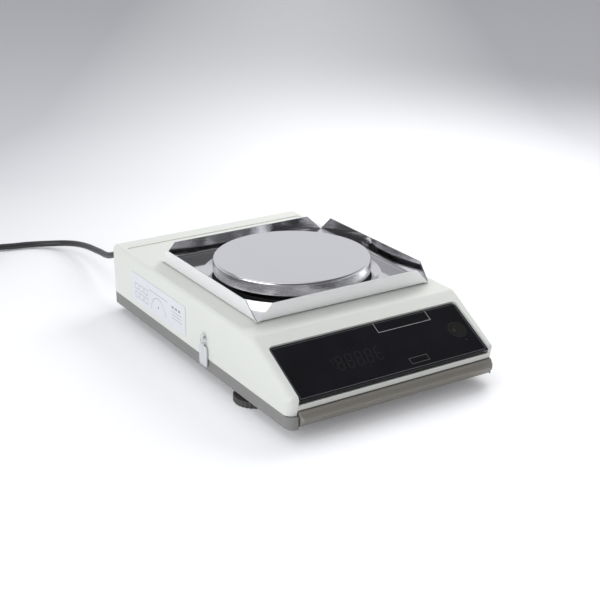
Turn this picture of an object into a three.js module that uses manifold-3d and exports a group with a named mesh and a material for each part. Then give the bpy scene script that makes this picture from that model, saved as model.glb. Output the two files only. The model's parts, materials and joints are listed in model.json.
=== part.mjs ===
// Precision balance with a round pan, a folded draft shield and one full-width control bar.
// Millimetres. X to the right, Y to the rear, Z up. The origin is on the table under the pan's axis.
import * as THREE from 'three';
import { mergeVertices } from 'three/addons/utils/BufferGeometryUtils.js';
import Module from 'manifold-3d';

const wasm = await Module();
wasm.setup();

// Shared clearances and counts
const gap = 0.3;
const overrun = 2;
const weldDistance = 1e-4;
const arcSteps = 4;
const roundSides = 16;
const largeRoundSides = 64;

// Housing as a whole
const bodyWidth = 195;
const bodyDepth = 306;
const barReach = 9;
const rearReach = 3;
const underClearance = 8.5;
const baseHeight = 10.3;
const coverHeight = 45.4;
const frontY = barReach - (bodyDepth + barReach + rearReach) / 2;
const rearY = frontY + bodyDepth;
const baseTop = underClearance + baseHeight;
const coverBottom = baseTop + gap;
const coverTop = coverBottom + coverHeight;
const halfWidth = bodyWidth / 2;

// Upper cover
const coverWall = 3;
const frontFootReach = 2.5;
const noseReach = 6;
const noseDrop = 30.1;
const topRun = 50.6;
const rearTopRadius = 5;
const bendRadius = 7;
const noseRadius = 4;
const rearSideRadius = 5;
const topSideRadius = 4;
const noseSideRadius = 8;
const footSideRadius = 7;
const leastRadius = 0.8;
const plinthSideStep = 6.5;
const plinthSlope = 7;
const plinthRise = 2.4;
const plinthCornerRadius = 16;
const wellMargin = 1;
const wellDepth = 8.4;
const wellFloor = 2.5;
const stemHoleRadius = 18;
const grooveRun = 27;
const grooveWidth = 7.5;
const grooveDepth = 0.8;
const grooveInset = 6.5;
const plinthReach = halfWidth - plinthSideStep;
const noseY = frontY - noseReach;
const noseZ = coverTop - noseDrop;
const bendY = frontY + topRun;
const frontFootY = frontY - frontFootReach;
const slopeAngle = Math.atan2(coverTop - noseZ, bendY - noseY);
const slopeLength = Math.hypot(coverTop - noseZ, bendY - noseY);
const plinthTop = coverTop + plinthRise;
const wellFloorTop = plinthTop - wellDepth;

// Display window in the front slope: distances down the slope start at the bend
const windowSideInset = 7.9;
const windowStart = 12.2;
const windowThickness = 3;
const windowRecess = 1.8;
const windowCorner = 4;
const windowLedge = 4;
const windowFrameDepth = 10;
const windowFrameMargin = 5;
const windowOverhang = 1;
const lipHeight = 4.8;
const lipBottomRise = 4.3;
const windowEdge = 1.2;
const windowHalfWidth = halfWidth - windowSideInset;
const windowEnd = slopeLength + windowOverhang;
const lipTop = coverBottom + lipBottomRise + lipHeight;
const lipBottom = coverBottom + lipBottomRise;

// Display board, digit module and spirit level under the window
const boardThickness = 1.6;
const displayBoardStart = 19;
const displayBoardEnd = 58;
const displayBoardDepth = 12;
const boardPillarRadius = 3;
const boardSlotDepth = 1.4;
const digitModuleLeft = -55;
const digitModuleRight = 8;
const digitModuleStart = 31;
const digitModuleEnd = 53;
const digitModuleHeight = 5;
const digitWell = 1.2;
const digitCount = 5;
const digitWall = 2.5;
const levelInset = 23;
const levelRun = 39;
const levelRadius = 8;
const levelWall = 1.2;
const levelHeight = 6;
const levelGlassHeight = 1.6;
const levelX = halfWidth - levelInset;
const displayBoardHalfWidth = windowHalfWidth - boardPillarRadius + boardSlotDepth;

// Base casting
const baseWall = 3.5;
const baseFloor = 3;
const baseFrontRadius = 7;
const baseRearRadius = 5;
const baseFrontReach = 5;
const barBayDepth = 0.5;
const ribHeight = 2.6;
const ribRise = 1.3;
const ribWidth = 1.8;
const ribPitch = 44;
const postRadius = 3.6;
const boardRise = 5;
const floorTop = underClearance + baseFloor;

// Control bar, its arms and pivots
const barSideInset = 6.5;
const barShift = 2.5;
const barEndGap = 1.2;
const barEndRadius = 3;
const barWall = 1.6;
const barTopGap = 0.8;
const barTopDepth = 3.3;
const barNeckDrop = 2.2;
const barNeckDepth = 4.1;
const barNeckRadius = 3;
const barNoseDrop = 5;
const barNoseRadius = 1.2;
const barNosePoint = 0.6;
const barBottom = 9.6;
const barFootDepth = 1.6;
const barFootRadius = 0.5;
const barBackDepth = 7.3;
const barRibCount = 4;
const armInset = 29;
const armWidth = 6;
const armHeight = 3.4;
const pivotRun = 38;
const pivotRise = 4.8;
const pivotHubRadius = 3.6;
const pivotPinRadius = 1.3;
const pivotPinLength = 15;
const earThickness = 2.5;
const earDepth = 10;
const springLength = 26;
const springWidth = 4.4;
const springThickness = 0.5;
const springTail = 8;
const switchSize = 6.2;
const switchHeight = 1.3;
const switchButton = 0.5;
const switchButtonRadius = 1.7;
const switchRun = 11;
const barHalfLength = halfWidth - barSideInset;
const barLeft = barShift - barHalfLength;
const barRight = barShift + barHalfLength;
const bayLeft = barLeft - barEndGap;
const bayRight = barRight + barEndGap;
const armOffset = barHalfLength - armInset;
const pivotY = frontY + pivotRun;
const pivotZ = floorTop + pivotRise;

// Weighing cell
const cellRise = 1.9;
const cellHalfWidth = 34;
const cellFront = -14;
const cellRear = 100;
const cellPlate = 4;
const towerDepth = 16;
const towerTop = 52;
const guideWidth = 60;
const guideStrip = 6;
const guideThickness = 1.2;
const lowerGuideZ = 20.5;
const upperGuideZ = 48.3;
const hangerHalfWidth = 12;
const hangerHalfDepth = 7;
const hangerTop = 51;
const hangerSlot = 8;
const fulcrumY = 24;
const fulcrumZ = 37;
const fulcrumPostWidth = 5;
const fulcrumPostDepth = 8;
const fulcrumPostOffset = 14;
const leverHeight = 6;
const leverHalfWidth = 4;
const leverCrossDepth = 5;
const leverFrontY = 9;
const leverTailY = 79;
const leverFlag = 2;
const magnetY = 56;
const potRadius = 18;
const potWall = 4.5;
const potTop = 31;
const potFloor = 4;
const magnetRadius = 8;
const magnetHeight = 9;
const coilRadius = 11.2;
const coilWall = 1.6;
const coilDrop = 10.5;
const sensorHalfWidth = 7;
const sensorHeight = 11;
const sensorSlot = 6;
const sensorSlotDepth = 7;
const runningGap = 1;

// Pan, its carrier, the collar ring and the draft shield
const panMargin = 0.7;
const panCrown = 6.1;
const panSkirt = 10.9;
const panSheet = 1.5;
const panEdgeRadius = 2;
const hubRadius = 13;
const seatRadius = 9.1;
const seatTipRadius = 5.2;
const seatHeight = 8.4;
const carrierStemRadius = 5;
const carrierDiscRadius = 15;
const carrierDiscHeight = 4.6;
const carrierRise = 4;
const collarWidth = 11.5;
const collarFloor = 2;
const collarRidgeInset = 9;
const collarRidgeWidth = 1.6;
const collarRidgeHeight = 5.5;
const collarInnerHeight = 3.4;
const shieldMargin = 7.8;
const shieldSheet = 1;
const shieldFold = 2.2;
const shieldWall = 14.4;
const shieldLean = 1.6;
const shieldCut = 14.6;
const shieldRim = 7.7;
const lipWidth = 7.3;
const lipDrop = 3.3;
const lipBend = 5;
const foldSteps = 3;
const shieldSize = (plinthReach - shieldMargin) * 2;
const lipStart = shieldSize / 2 - shieldRim;
const shieldHole = lipStart - lipWidth;
const panRadius = shieldHole - panMargin;
const wellRadius = lipStart + wellMargin;
const collarRidge = panRadius - collarRidgeInset;
const collarInner = collarRidge - collarWidth;
const carrierDiscZ = wellFloorTop + carrierRise;
const seatTop = carrierDiscZ + carrierDiscHeight + seatHeight;
const panTop = seatTop + gap + panCrown;
const shieldBottom = plinthTop + gap;
const shieldTop = shieldBottom + shieldWall;

// Feet
const wheelRadius = 18;
const wheelHeight = 5.5;
const wheelFlutes = 30;
const wheelFluteDepth = 0.7;
const wheelSideInset = 15.3;
const wheelFrontInset = 72;
const studRadius = 3;
const studLength = 15;
const studBossRadius = 7.5;
const studBossHeight = 8.5;
const rearFootRadius = 9;
const rearFootSideInset = 23.5;
const rearFootRearInset = 19;
const rearFootChamfer = 1.5;
const rearFootTaper = 1;
const rearFootStem = 3;
const rearFootBarb = 3.8;
const wheelX = halfWidth - wheelSideInset;
const wheelY = frontY + wheelFrontInset;
const rearFootX = halfWidth - rearFootSideInset;
const rearFootY = rearY - rearFootRearInset;

// Screws from below that hold the cover
const screwSideInset = 8.2;
const screwFrontInset = 22;
const screwRearInset = 15;
const screwShankRadius = 1.75;
const screwHeadRadius = 3.8;
const screwHeadHeight = 2;
const screwLength = 22;
const screwBossRadius = 4.5;
const screwX = halfWidth - screwSideInset;
const screwFrontY = frontY + screwFrontInset;
const screwRearY = rearY - screwRearInset;

// Port for weighing below the balance, under a plate that swings aside on its screw
const portRadius = 10;
const portLip = 3;
const portPlate = 1.2;
const portScrewX = 19;
const portScrewRadius = 1.5;
const portScrewHead = 3;
const portTabRadius = 5;

// Power parts inside
const transformerSideInset = 10.5;
const transformerCellGap = 7;
const transformerFuseGap = 1;
const transformerDepth = 38;
const transformerHeight = 36;
const transformerWindowShare = 9 / 46;
const windingBulge = 7;
const boardCellGap = 10;
const boardSideInset = 7.5;
const boardFrontInset = 82;
const boardRearInset = 60;
const boardPostInset = 5;
const finCount = 7;
const finThickness = 1.4;
const finHeight = 20;
const sinkLength = 44;
const sinkDepth = 22;
const sinkRearInset = 32;
const capacitorRadius = 9;
const capacitorHeight = 26;
const capacitorEdge = 1;
const capacitorRun = 34;
const transformerLeft = -halfWidth + transformerSideInset;
const transformerRight = -cellHalfWidth - transformerCellGap;
const transformerX = (transformerLeft + transformerRight) / 2;
const transformerWidth = transformerRight - transformerLeft;
const transformerWindow = transformerWidth * transformerWindowShare;
const mainBoardLeft = cellHalfWidth + boardCellGap;
const mainBoardRight = halfWidth - boardSideInset;
const mainBoardFront = frontY + boardFrontInset;
const mainBoardRear = rearY - boardRearInset;
const sinkY = mainBoardRear - sinkRearInset;
const capacitorY = sinkY - sinkLength / 2 - capacitorRun;

// Rear panel
const cordSideInset = 27.5;
const cordExitHeight = 36;
const fuseSpacing = 34;
const fuseRadius = 6.2;
const fuseCapRadius = 7.6;
const fuseLength = 24;
const fuseWall = 1.4;
const fuseSlotWidth = 1.4;
const selectorSpacing = 28;
const selectorWidth = 24;
const selectorHeight = 13;
const selectorDepth = 12;
const selectorSlotDepth = 3;
const optionSpacing = 10;
const optionSideInset = 19.5;
const optionHeight = 20;
const optionPlate = 1.2;
const optionLip = 3;
const fuseFront = rearY - coverWall - gap - fuseLength;
const transformerY = fuseFront - transformerFuseGap - transformerDepth / 2;
const cordX = -halfWidth + cordSideInset;
const fuseX = cordX + fuseSpacing;
const selectorX = fuseX + selectorSpacing;
const optionLeft = selectorX + selectorWidth / 2 + optionSpacing;
const optionRight = halfWidth - optionSideInset;
const optionX = (optionLeft + optionRight) / 2;
const optionWidth = optionRight - optionLeft;

// Side label and the seal on the left wall
const labelRearInset = 42.7;
const labelLength = 103;
const labelBottom = 24.6;
const labelTop = 51.6;
const labelThickness = 0.3;
const labelGap = 0.1;
const sealRun = 32.9;
const sealZ = 38;
const sealHeadRadius = 2.8;
const sealHeadReach = 2.4;
const sealHoleRadius = 0.75;
const sealWireRadius = 0.4;
const sealWireWidth = 8;
const sealWireDrop = 7;
const sealTagWidth = 13;
const sealTagLength = 19;
const sealTagSheet = 1;
const sealLugRadius = 1;
const sealLugWidth = 5;
const labelRear = rearY - labelRearInset;
const labelFront = labelRear - labelLength;
const sealY = labelFront - sealRun;

// Mains cord
const cordRadius = 3.1;
const reliefLength = 30;
const reliefCollarRadius = 8.5;
const reliefNeckRadius = 6;
const reliefTipRadius = 4.2;
const reliefRingCount = 4;
const cordSides = 10;
const cordStep = 7.5;
const coilX = -206;
const coilY = 357;
const coilInnerRadius = 25.5;
const coilLayerTurns = 3;
const coilPitch = 6.8;
const coilSides = 6;
const coilStepsPerTurn = 24;
const coilRaise = 1.3;
const tieThickness = 0.8;
const tieWidth = 6;
const tieAngle = -1.9;
const plugRadius = 18.4;
const plugLength = 36;
const plugNeckRadius = 6;
const plugFlat = 15.5;
const pinRadius = 2.4;
const pinLength = 19;
const pinSpacing = 19;
const tailLength = 62;

// Colours, roughness and metalness as the eye sees them on the balance
const finishes = {
  cover: { color: 0xd6d8d0, roughness: 0.45, metalness: 0 },
  base: { color: 0x7c7b76, roughness: 0.6, metalness: 0.2 },
  bar: { color: 0x6f6b64, roughness: 0.5, metalness: 0 },
  window: { color: 0x17161b, roughness: 0.08, metalness: 0 },
  steel: { color: 0xc9c9cc, roughness: 0.18, metalness: 1 },
  blackPlastic: { color: 0x131315, roughness: 0.5, metalness: 0 },
  castMetal: { color: 0x9a9c9e, roughness: 0.5, metalness: 0.8 },
  aluminium: { color: 0xb9bbbd, roughness: 0.35, metalness: 1 },
  copper: { color: 0xa65a34, roughness: 0.4, metalness: 0.8 },
  magnet: { color: 0x4b4c50, roughness: 0.35, metalness: 0.9 },
  board: { color: 0x23613a, roughness: 0.5, metalness: 0 },
  rubber: { color: 0x1d1d1e, roughness: 0.85, metalness: 0 },
  brass: { color: 0xb08d4a, roughness: 0.3, metalness: 1 },
  label: { color: 0xe6e7ea, roughness: 0.5, metalness: 0 },
  clear: { color: 0xe8eef0, roughness: 0.1, metalness: 0 },
  level: { color: 0xbfd66a, roughness: 0.15, metalness: 0 },
  wheel: { color: 0x4a4a48, roughness: 0.6, metalness: 0 },
};

// Geometry helpers

// Joins shared vertices and drops the triangles that shrink to a line.
function welded(geometry) {
  const bare = geometry.clone();
  bare.deleteAttribute('normal');
  bare.deleteAttribute('uv');
  const joined = mergeVertices(bare, weldDistance);
  const kept = [];
  const corners = joined.index.array;
  for (let i = 0; i < corners.length; i += 3) {
    const [a, b, c] = [corners[i], corners[i + 1], corners[i + 2]];
    if (a !== b && b !== c && c !== a) kept.push(a, b, c);
  }
  joined.setIndex(kept);
  return joined;
}

function solidOf(geometry) {
  const joined = welded(geometry);
  return new wasm.Manifold(new wasm.Mesh({
    numProp: 3,
    vertProperties: joined.attributes.position.array,
    triVerts: new Uint32Array(joined.index.array),
  }));
}

function geometryOf(solid) {
  const mesh = solid.getMesh();
  const geometry = new THREE.BufferGeometry();
  geometry.setAttribute('position', new THREE.BufferAttribute(mesh.vertProperties, mesh.numProp));
  geometry.setIndex(new THREE.BufferAttribute(mesh.triVerts, 1));
  return geometry;
}

function joined(...solids) {
  return solids.reduce((whole, piece) => whole.add(piece));
}

function without(solid, ...cutters) {
  return cutters.reduce((rest, cutter) => rest.subtract(cutter), solid);
}

// A block between two limits on each axis, given in either order.
function block(xStart, xEnd, yStart, yEnd, zStart, zEnd) {
  const geometry = new THREE.BoxGeometry(
    Math.abs(xEnd - xStart), Math.abs(yEnd - yStart), Math.abs(zEnd - zStart));
  geometry.translate((xStart + xEnd) / 2, (yStart + yEnd) / 2, (zStart + zEnd) / 2);
  return geometry;
}

function blockSolid(...limits) {
  return solidOf(block(...limits));
}

// An outline whose corners [a, b, radius] are rounded by arcs of equal steps.
function roundedOutline(corners, steps = arcSteps) {
  const outline = [];
  corners.forEach(([a, b, radius = 0], i) => {
    const here = new THREE.Vector2(a, b);
    if (radius === 0) {
      outline.push(here);
      return;
    }
    const before = corners[(i + corners.length - 1) % corners.length];
    const after = corners[(i + 1) % corners.length];
    const back = new THREE.Vector2(before[0], before[1]).sub(here).normalize();
    const on = new THREE.Vector2(after[0], after[1]).sub(here).normalize();
    const half = Math.acos(THREE.MathUtils.clamp(back.dot(on), -1, 1)) / 2;
    const centre = back.clone().add(on).normalize().multiplyScalar(radius / Math.sin(half)).add(here);
    const start = back.clone().multiplyScalar(radius / Math.tan(half)).add(here).sub(centre);
    const end = on.clone().multiplyScalar(radius / Math.tan(half)).add(here).sub(centre);
    const turn = Math.atan2(start.x * end.y - start.y * end.x, start.dot(end));
    for (let k = 0; k <= steps; k += 1) {
      const point = start.clone().rotateAround(new THREE.Vector2(), turn * k / steps);
      outline.push(point.add(centre));
    }
  });
  return outline;
}

function roundedRectangle(xLow, xHigh, yLow, yHigh, radius, steps = arcSteps) {
  return roundedOutline([
    [xLow, yLow, radius], [xHigh, yLow, radius], [xHigh, yHigh, radius], [xLow, yHigh, radius],
  ], steps);
}

const axisFrames = {
  x: new THREE.Matrix4().makeBasis(
    new THREE.Vector3(0, 1, 0), new THREE.Vector3(0, 0, 1), new THREE.Vector3(1, 0, 0)),
  y: new THREE.Matrix4().makeBasis(
    new THREE.Vector3(0, 0, 1), new THREE.Vector3(1, 0, 0), new THREE.Vector3(0, 1, 0)),
  z: new THREE.Matrix4(),
};

// Extrudes an outline from low to high along an axis. The outline holds the other two coordinates:
// y and z along x, z and x along y, x and y along z.
function extruded(outline, axis, low, high) {
  const geometry = new THREE.ExtrudeGeometry(new THREE.Shape(outline), {
    depth: high - low, bevelEnabled: false,
  });
  geometry.translate(0, 0, low);
  return geometry.applyMatrix4(axisFrames[axis]);
}

// Turns a profile of [radius, height] about an axis through the origin.
function turned(profile, axis = 'z', sides = roundSides) {
  const points = profile.map(([radius, height]) => new THREE.Vector2(radius, height));
  const geometry = new THREE.LatheGeometry(points, sides);
  geometry.rotateX(Math.PI / 2);
  return geometry.applyMatrix4(axisFrames[axis]);
}

function rod(radius, low, high, axis = 'z', sides = roundSides) {
  return turned([[0, low], [radius, low], [radius, high], [0, high]], axis, sides);
}

function moved(geometry, x, y, z) {
  return geometry.translate(x, y, z);
}

// Skins rings that hold the same number of points, and closes both ends flat.
function lofted(rings, endPlane) {
  const count = rings[0].length;
  const positions = rings.flat().flatMap((point) => [point.x, point.y, point.z]);
  const faces = [];
  for (let r = 0; r < rings.length - 1; r += 1) {
    for (let i = 0; i < count; i += 1) {
      const j = (i + 1) % count;
      const [a, b] = [r * count + i, r * count + j];
      faces.push(a, b, b + count, a, b + count, a + count);
    }
  }
  const flat = (ring) => ring.map((point) => new THREE.Vector2(point[endPlane[0]], point[endPlane[1]]));
  THREE.ShapeUtils.triangulateShape(flat(rings[0]), []).forEach(([a, b, c]) => faces.push(a, c, b));
  const last = (rings.length - 1) * count;
  THREE.ShapeUtils.triangulateShape(flat(rings.at(-1)), [])
    .forEach(([a, b, c]) => faces.push(last + a, last + b, last + c));
  const geometry = new THREE.BufferGeometry();
  geometry.setAttribute('position', new THREE.Float32BufferAttribute(positions, 3));
  geometry.setIndex(faces);
  return geometry;
}

// A round tube along a curve with square ends.
function tube(curve, radius, sides, steps) {
  const section = new THREE.Shape();
  for (let i = 0; i < sides; i += 1) {
    const angle = 2 * Math.PI * i / sides;
    const [a, b] = [radius * Math.cos(angle), radius * Math.sin(angle)];
    if (i === 0) section.moveTo(a, b);
    else section.lineTo(a, b);
  }
  return new THREE.ExtrudeGeometry(section, { steps, extrudePath: curve, bevelEnabled: false });
}

const balance = new THREE.Group();

function addPart(name, geometry, finish, parent = balance) {
  const material = new THREE.MeshStandardMaterial({ ...finishes[finish], flatShading: true });
  const mesh = new THREE.Mesh(welded(geometry), material);
  mesh.name = name;
  parent.add(mesh);
  return mesh;
}

// The front slope's own frame: X as the balance, Y up the slope from the bend, Z out of the slope.
const slopeFrame = new THREE.Matrix4()
  .makeTranslation(0, bendY, coverTop)
  .multiply(new THREE.Matrix4().makeRotationX(slopeAngle));
const slopeGroup = new THREE.Group();
slopeGroup.position.set(0, bendY, coverTop);
slopeGroup.rotation.x = slopeAngle;
balance.add(slopeGroup);

function slopeSolid(geometry) {
  return solidOf(geometry.applyMatrix4(slopeFrame));
}

// Upper cover: one moulded shell, open below

// Each corner of the side outline: y, z, arc radius, radius of the edge towards the side wall,
// and whether the edge before and after the corner draws in with it.
const coverCorners = [
  { y: rearY, z: coverBottom, arc: 0, side: rearSideRadius, before: 0, after: 1 },
  { y: rearY, z: coverTop, arc: rearTopRadius, side: topSideRadius, before: 1, after: 1 },
  { y: bendY, z: coverTop, arc: bendRadius, side: topSideRadius, before: 1, after: 1 },
  { y: noseY, z: noseZ, arc: noseRadius, side: noseSideRadius, before: 1, after: 1 },
  { y: frontFootY, z: coverBottom, arc: 0, side: footSideRadius, before: 1, after: 0 },
];

function inwardNormal(from, to) {
  return new THREE.Vector2(-(to.z - from.z), to.y - from.y).normalize();
}

// The corner where two edges with the normals n and m meet once they move inwards by a and b.
function drawnIn(corner, n, m, a, b) {
  const cross = n.x * m.y - n.y * m.x;
  return new THREE.Vector2(
    corner.y + (a * m.y - b * n.y) / cross, corner.z + (n.x * b - m.x * a) / cross);
}

// Draws the side outline in by the wall plus each corner's share of its side radius.
function coverRing(wall, share, deeper) {
  const count = coverCorners.length;
  const corners = coverCorners.map((corner, i) => {
    const before = coverCorners[(i + count - 1) % count];
    const after = coverCorners[(i + 1) % count];
    const n = inwardNormal(before, corner);
    const m = inwardNormal(corner, after);
    const side = Math.max(corner.side - wall, leastRadius) * share;
    const a = corner.before ? wall + side : -deeper;
    const b = corner.after ? wall + side : -deeper;
    const point = drawnIn(corner, n, m, a, b);
    return [point.x, point.y, corner.arc && Math.max(corner.arc - wall - side, leastRadius)];
  });
  return roundedOutline(corners).map((point) => new THREE.Vector3(0, point.x, point.y));
}

function coverBody(wall, deeper) {
  const half = halfWidth - wall;
  const rings = [];
  for (let k = 0; k <= arcSteps; k += 1) {
    const angle = Math.PI / 2 * k / arcSteps;
    const share = 1 - Math.sin(angle);
    const ring = coverRing(wall, share, deeper);
    const perCorner = coverRing(wall, 0, deeper);
    const placed = ring.map((point, i) => {
      const radius = sideRadiusAt(perCorner[i], wall);
      return point.clone().setX(-half + radius * (1 - Math.cos(angle)));
    });
    rings.push(placed);
  }
  const mirrored = rings.map((ring) => ring.map((point) => point.clone().setX(-point.x))).reverse();
  return solidOf(lofted([...rings, ...mirrored], ['y', 'z']));
}

// The side radius grows from the bend down the slope to the nose.
function sideRadiusAt(point, wall) {
  if (point.y > bendY) return Math.max(topSideRadius - wall, leastRadius);
  const down = THREE.MathUtils.clamp((bendY - point.y) / (bendY - noseY), 0, 1);
  return Math.max(THREE.MathUtils.lerp(topSideRadius, noseSideRadius, down) - wall, leastRadius);
}

function squareRing(half, radius, z) {
  return roundedRectangle(-half, half, -half, half, radius)
    .map((point) => new THREE.Vector3(point.x, point.y, z));
}

const coverOuter = coverBody(0, 0);
const coverInner = coverBody(coverWall, overrun);
const plinth = solidOf(lofted([
  squareRing(plinthReach, plinthCornerRadius, coverTop - coverWall / 2),
  squareRing(plinthReach, plinthCornerRadius, coverTop),
  squareRing(plinthReach - plinthSlope, plinthCornerRadius - plinthSlope, plinthTop),
], ['x', 'y']));
const wellCup = solidOf(rod(wellRadius + coverWall, wellFloorTop - wellFloor, plinthTop - plinthRise / 2,
  'z', largeRoundSides));
const wellCut = solidOf(rod(wellRadius, wellFloorTop, plinthTop + overrun, 'z', largeRoundSides));
const stemHole = solidOf(rod(stemHoleRadius, wellFloorTop - wellFloor - overrun, plinthTop, 'z',
  roundSides));
const windowFrame = slopeSolid(block(-halfWidth + coverWall, halfWidth - coverWall,
  -slopeLength - overrun, -windowStart + windowFrameMargin, -windowFrameDepth, -coverWall / 2));
const windowBed = slopeSolid(extruded(roundedOutline([
  [-windowHalfWidth, -windowEnd - overrun * 2], [windowHalfWidth, -windowEnd - overrun * 2],
  [windowHalfWidth, -windowStart, windowCorner], [-windowHalfWidth, -windowStart, windowCorner],
]), 'z', -windowRecess - windowThickness - gap, overrun));
const windowThrough = slopeSolid(block(-windowHalfWidth + windowLedge, windowHalfWidth - windowLedge,
  -windowEnd + windowLedge * 2, -windowStart - windowLedge, -windowFrameDepth - overrun, overrun));
const slit = blockSolid(-windowHalfWidth, windowHalfWidth, noseY - overrun, frontFootY + coverWall,
  lipTop, noseZ - windowRecess);
const barNotch = blockSolid(bayLeft, bayRight, noseY - overrun, frontFootY + coverWall * 2,
  coverBottom - overrun, lipBottom);
const groove = blockSolid(-halfWidth + grooveInset, halfWidth - grooveInset,
  rearY - grooveRun, rearY - grooveRun + grooveWidth, coverTop - grooveDepth, coverTop + overrun);

function slopeHeight(y) {
  return y > bendY ? coverTop : coverTop - (bendY - y) * Math.tan(slopeAngle);
}

const screwPlaces = [-1, 1].flatMap((side) => [screwFrontY, screwRearY].map((y) => [side * screwX, y]));
const coverBosses = screwPlaces.map(([x, y]) => solidOf(moved(
  rod(screwBossRadius, coverBottom, slopeHeight(y) - coverWall / 2), x, y, 0)).intersect(coverOuter));
const screwTop = underClearance + gap + screwHeadHeight + screwLength;
const coverBossHoles = screwPlaces.map(([x, y]) => solidOf(moved(
  rod(screwShankRadius + gap, coverBottom - overrun, screwTop + gap), x, y, 0)));
const boardTop = -displayBoardDepth;
const pillars = [-1, 1].map((side) => slopeSolid(block(
  side * windowHalfWidth - boardPillarRadius, side * windowHalfWidth + boardPillarRadius,
  -displayBoardEnd, -displayBoardStart, boardTop - boardThickness - boardPillarRadius,
  -windowFrameDepth + gap)));
const slotInner = windowHalfWidth - boardPillarRadius - overrun;
const slotOuter = displayBoardHalfWidth + gap;
const boardSlots = [-1, 1].map((side) => slopeSolid(block(
  side * slotInner, side * slotOuter,
  -displayBoardEnd - overrun, -displayBoardStart + overrun, boardTop - boardThickness - gap,
  boardTop + gap)));
const rearHoles = [[reliefNeckRadius, cordX], [fuseRadius, fuseX]].map(([radius, x]) => solidOf(moved(
  rod(radius + gap, rearY - coverWall - overrun, rearY + overrun, 'y'), x, 0, cordExitHeight)));
const selectorHole = blockSolid(selectorX - selectorWidth / 2 - gap, selectorX + selectorWidth / 2 + gap,
  rearY - coverWall - overrun, rearY + overrun,
  cordExitHeight - selectorHeight / 2 - gap, cordExitHeight + selectorHeight / 2 + gap);
const optionHole = blockSolid(optionX - optionWidth / 2 + optionLip, optionX + optionWidth / 2 - optionLip,
  rearY - coverWall - overrun, rearY + overrun,
  cordExitHeight - optionHeight / 2 + optionLip, cordExitHeight + optionHeight / 2 - optionLip);
const optionBed = blockSolid(optionX - optionWidth / 2 - gap, optionX + optionWidth / 2 + gap,
  rearY - optionPlate, rearY + overrun,
  cordExitHeight - optionHeight / 2 - gap, cordExitHeight + optionHeight / 2 + gap);
const sealBore = solidOf(moved(
  rod(sealHeadRadius / 2 + gap, -halfWidth - overrun, -halfWidth + coverWall + overrun, 'x'),
  0, sealY, sealZ));

const coverShell = joined(
  without(coverOuter, coverInner),
  wellCup.intersect(coverOuter),
  windowFrame.intersect(coverOuter),
  plinth,
  ...coverBosses,
);
const pillarPieces = pillars.map((pillar) => pillar.intersect(coverOuter));
const upperCover = without(
  joined(coverShell, ...pillarPieces),
  wellCut, stemHole, windowBed, windowThrough, slit, barNotch, groove,
  ...coverBossHoles, ...boardSlots, ...rearHoles, selectorHole, optionHole, optionBed, sealBore,
);
addPart('upper_cover', geometryOf(upperCover), 'cover');

// Display window, board, digit module and spirit level
const windowPane = solidOf(extruded(roundedOutline([
  [-windowHalfWidth + gap, -windowEnd], [windowHalfWidth - gap, -windowEnd],
  [windowHalfWidth - gap, -windowStart - gap, windowCorner],
  [-windowHalfWidth + gap, -windowStart - gap, windowCorner],
]), 'z', -windowRecess - windowThickness, -windowRecess));
const windowFrontEdge = blockSolid(-windowHalfWidth + gap, windowHalfWidth - gap,
  -windowEnd, -windowEnd + windowEdge, -windowRecess - windowThickness - windowEdge, -windowRecess);
addPart('display_window', geometryOf(joined(windowPane, windowFrontEdge)), 'window', slopeGroup);
addPart('display_board', block(-displayBoardHalfWidth, displayBoardHalfWidth,
  -displayBoardEnd + gap, -displayBoardStart - gap, boardTop - boardThickness, boardTop), 'board',
  slopeGroup);

const moduleBody = blockSolid(digitModuleLeft, digitModuleRight, -digitModuleEnd, -digitModuleStart,
  boardTop + gap, boardTop + gap + digitModuleHeight);
const digitPitch = (digitModuleRight - digitModuleLeft - digitWall) / digitCount;
const digitWells = Array.from({ length: digitCount }, (_, i) => {
  const left = digitModuleLeft + digitWall + i * digitPitch;
  return blockSolid(left, left + digitPitch - digitWall, -digitModuleEnd + digitWall,
    -digitModuleStart - digitWall,
    boardTop + gap + digitModuleHeight - digitWell, boardTop + gap + digitModuleHeight + overrun);
});
addPart('digit_module', geometryOf(without(moduleBody, ...digitWells)), 'blackPlastic', slopeGroup);

addPart('level_cup', moved(turned([
  [0, 0], [levelRadius, 0], [levelRadius, levelHeight], [levelRadius - levelWall, levelHeight],
  [levelRadius - levelWall, levelWall], [0, levelWall],
]), levelX, -levelRun, boardTop + gap), 'brass', slopeGroup);
addPart('level_glass', moved(turned([
  [0, levelHeight - levelGlassHeight], [levelRadius - levelWall - gap, levelHeight - levelGlassHeight],
  [levelRadius - levelWall - gap, levelHeight - levelGlassHeight / 2],
  [(levelRadius - levelWall) / 2, levelHeight - levelGlassHeight / 5], [0, levelHeight],
]), levelX, -levelRun, boardTop + gap), 'level', slopeGroup);

// Base casting: a shallow tray with bosses, posts, ribs and the bar's bay
const baseFrontY = frontY - baseFrontReach;
const bayY = frontY - barBayDepth;
function baseOutline(inset) {
  return roundedOutline([
    [-halfWidth + inset, baseFrontY + inset, baseFrontRadius - inset / 2],
    [halfWidth - inset, baseFrontY + inset, baseFrontRadius - inset / 2],
    [halfWidth - inset, rearY - inset, baseRearRadius - inset / 2],
    [-halfWidth + inset, rearY - inset, baseRearRadius - inset / 2],
  ]);
}
const tray = without(
  solidOf(extruded(baseOutline(0), 'z', underClearance, baseTop)),
  solidOf(extruded(baseOutline(baseWall), 'z', floorTop, baseTop + overrun)),
);
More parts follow.
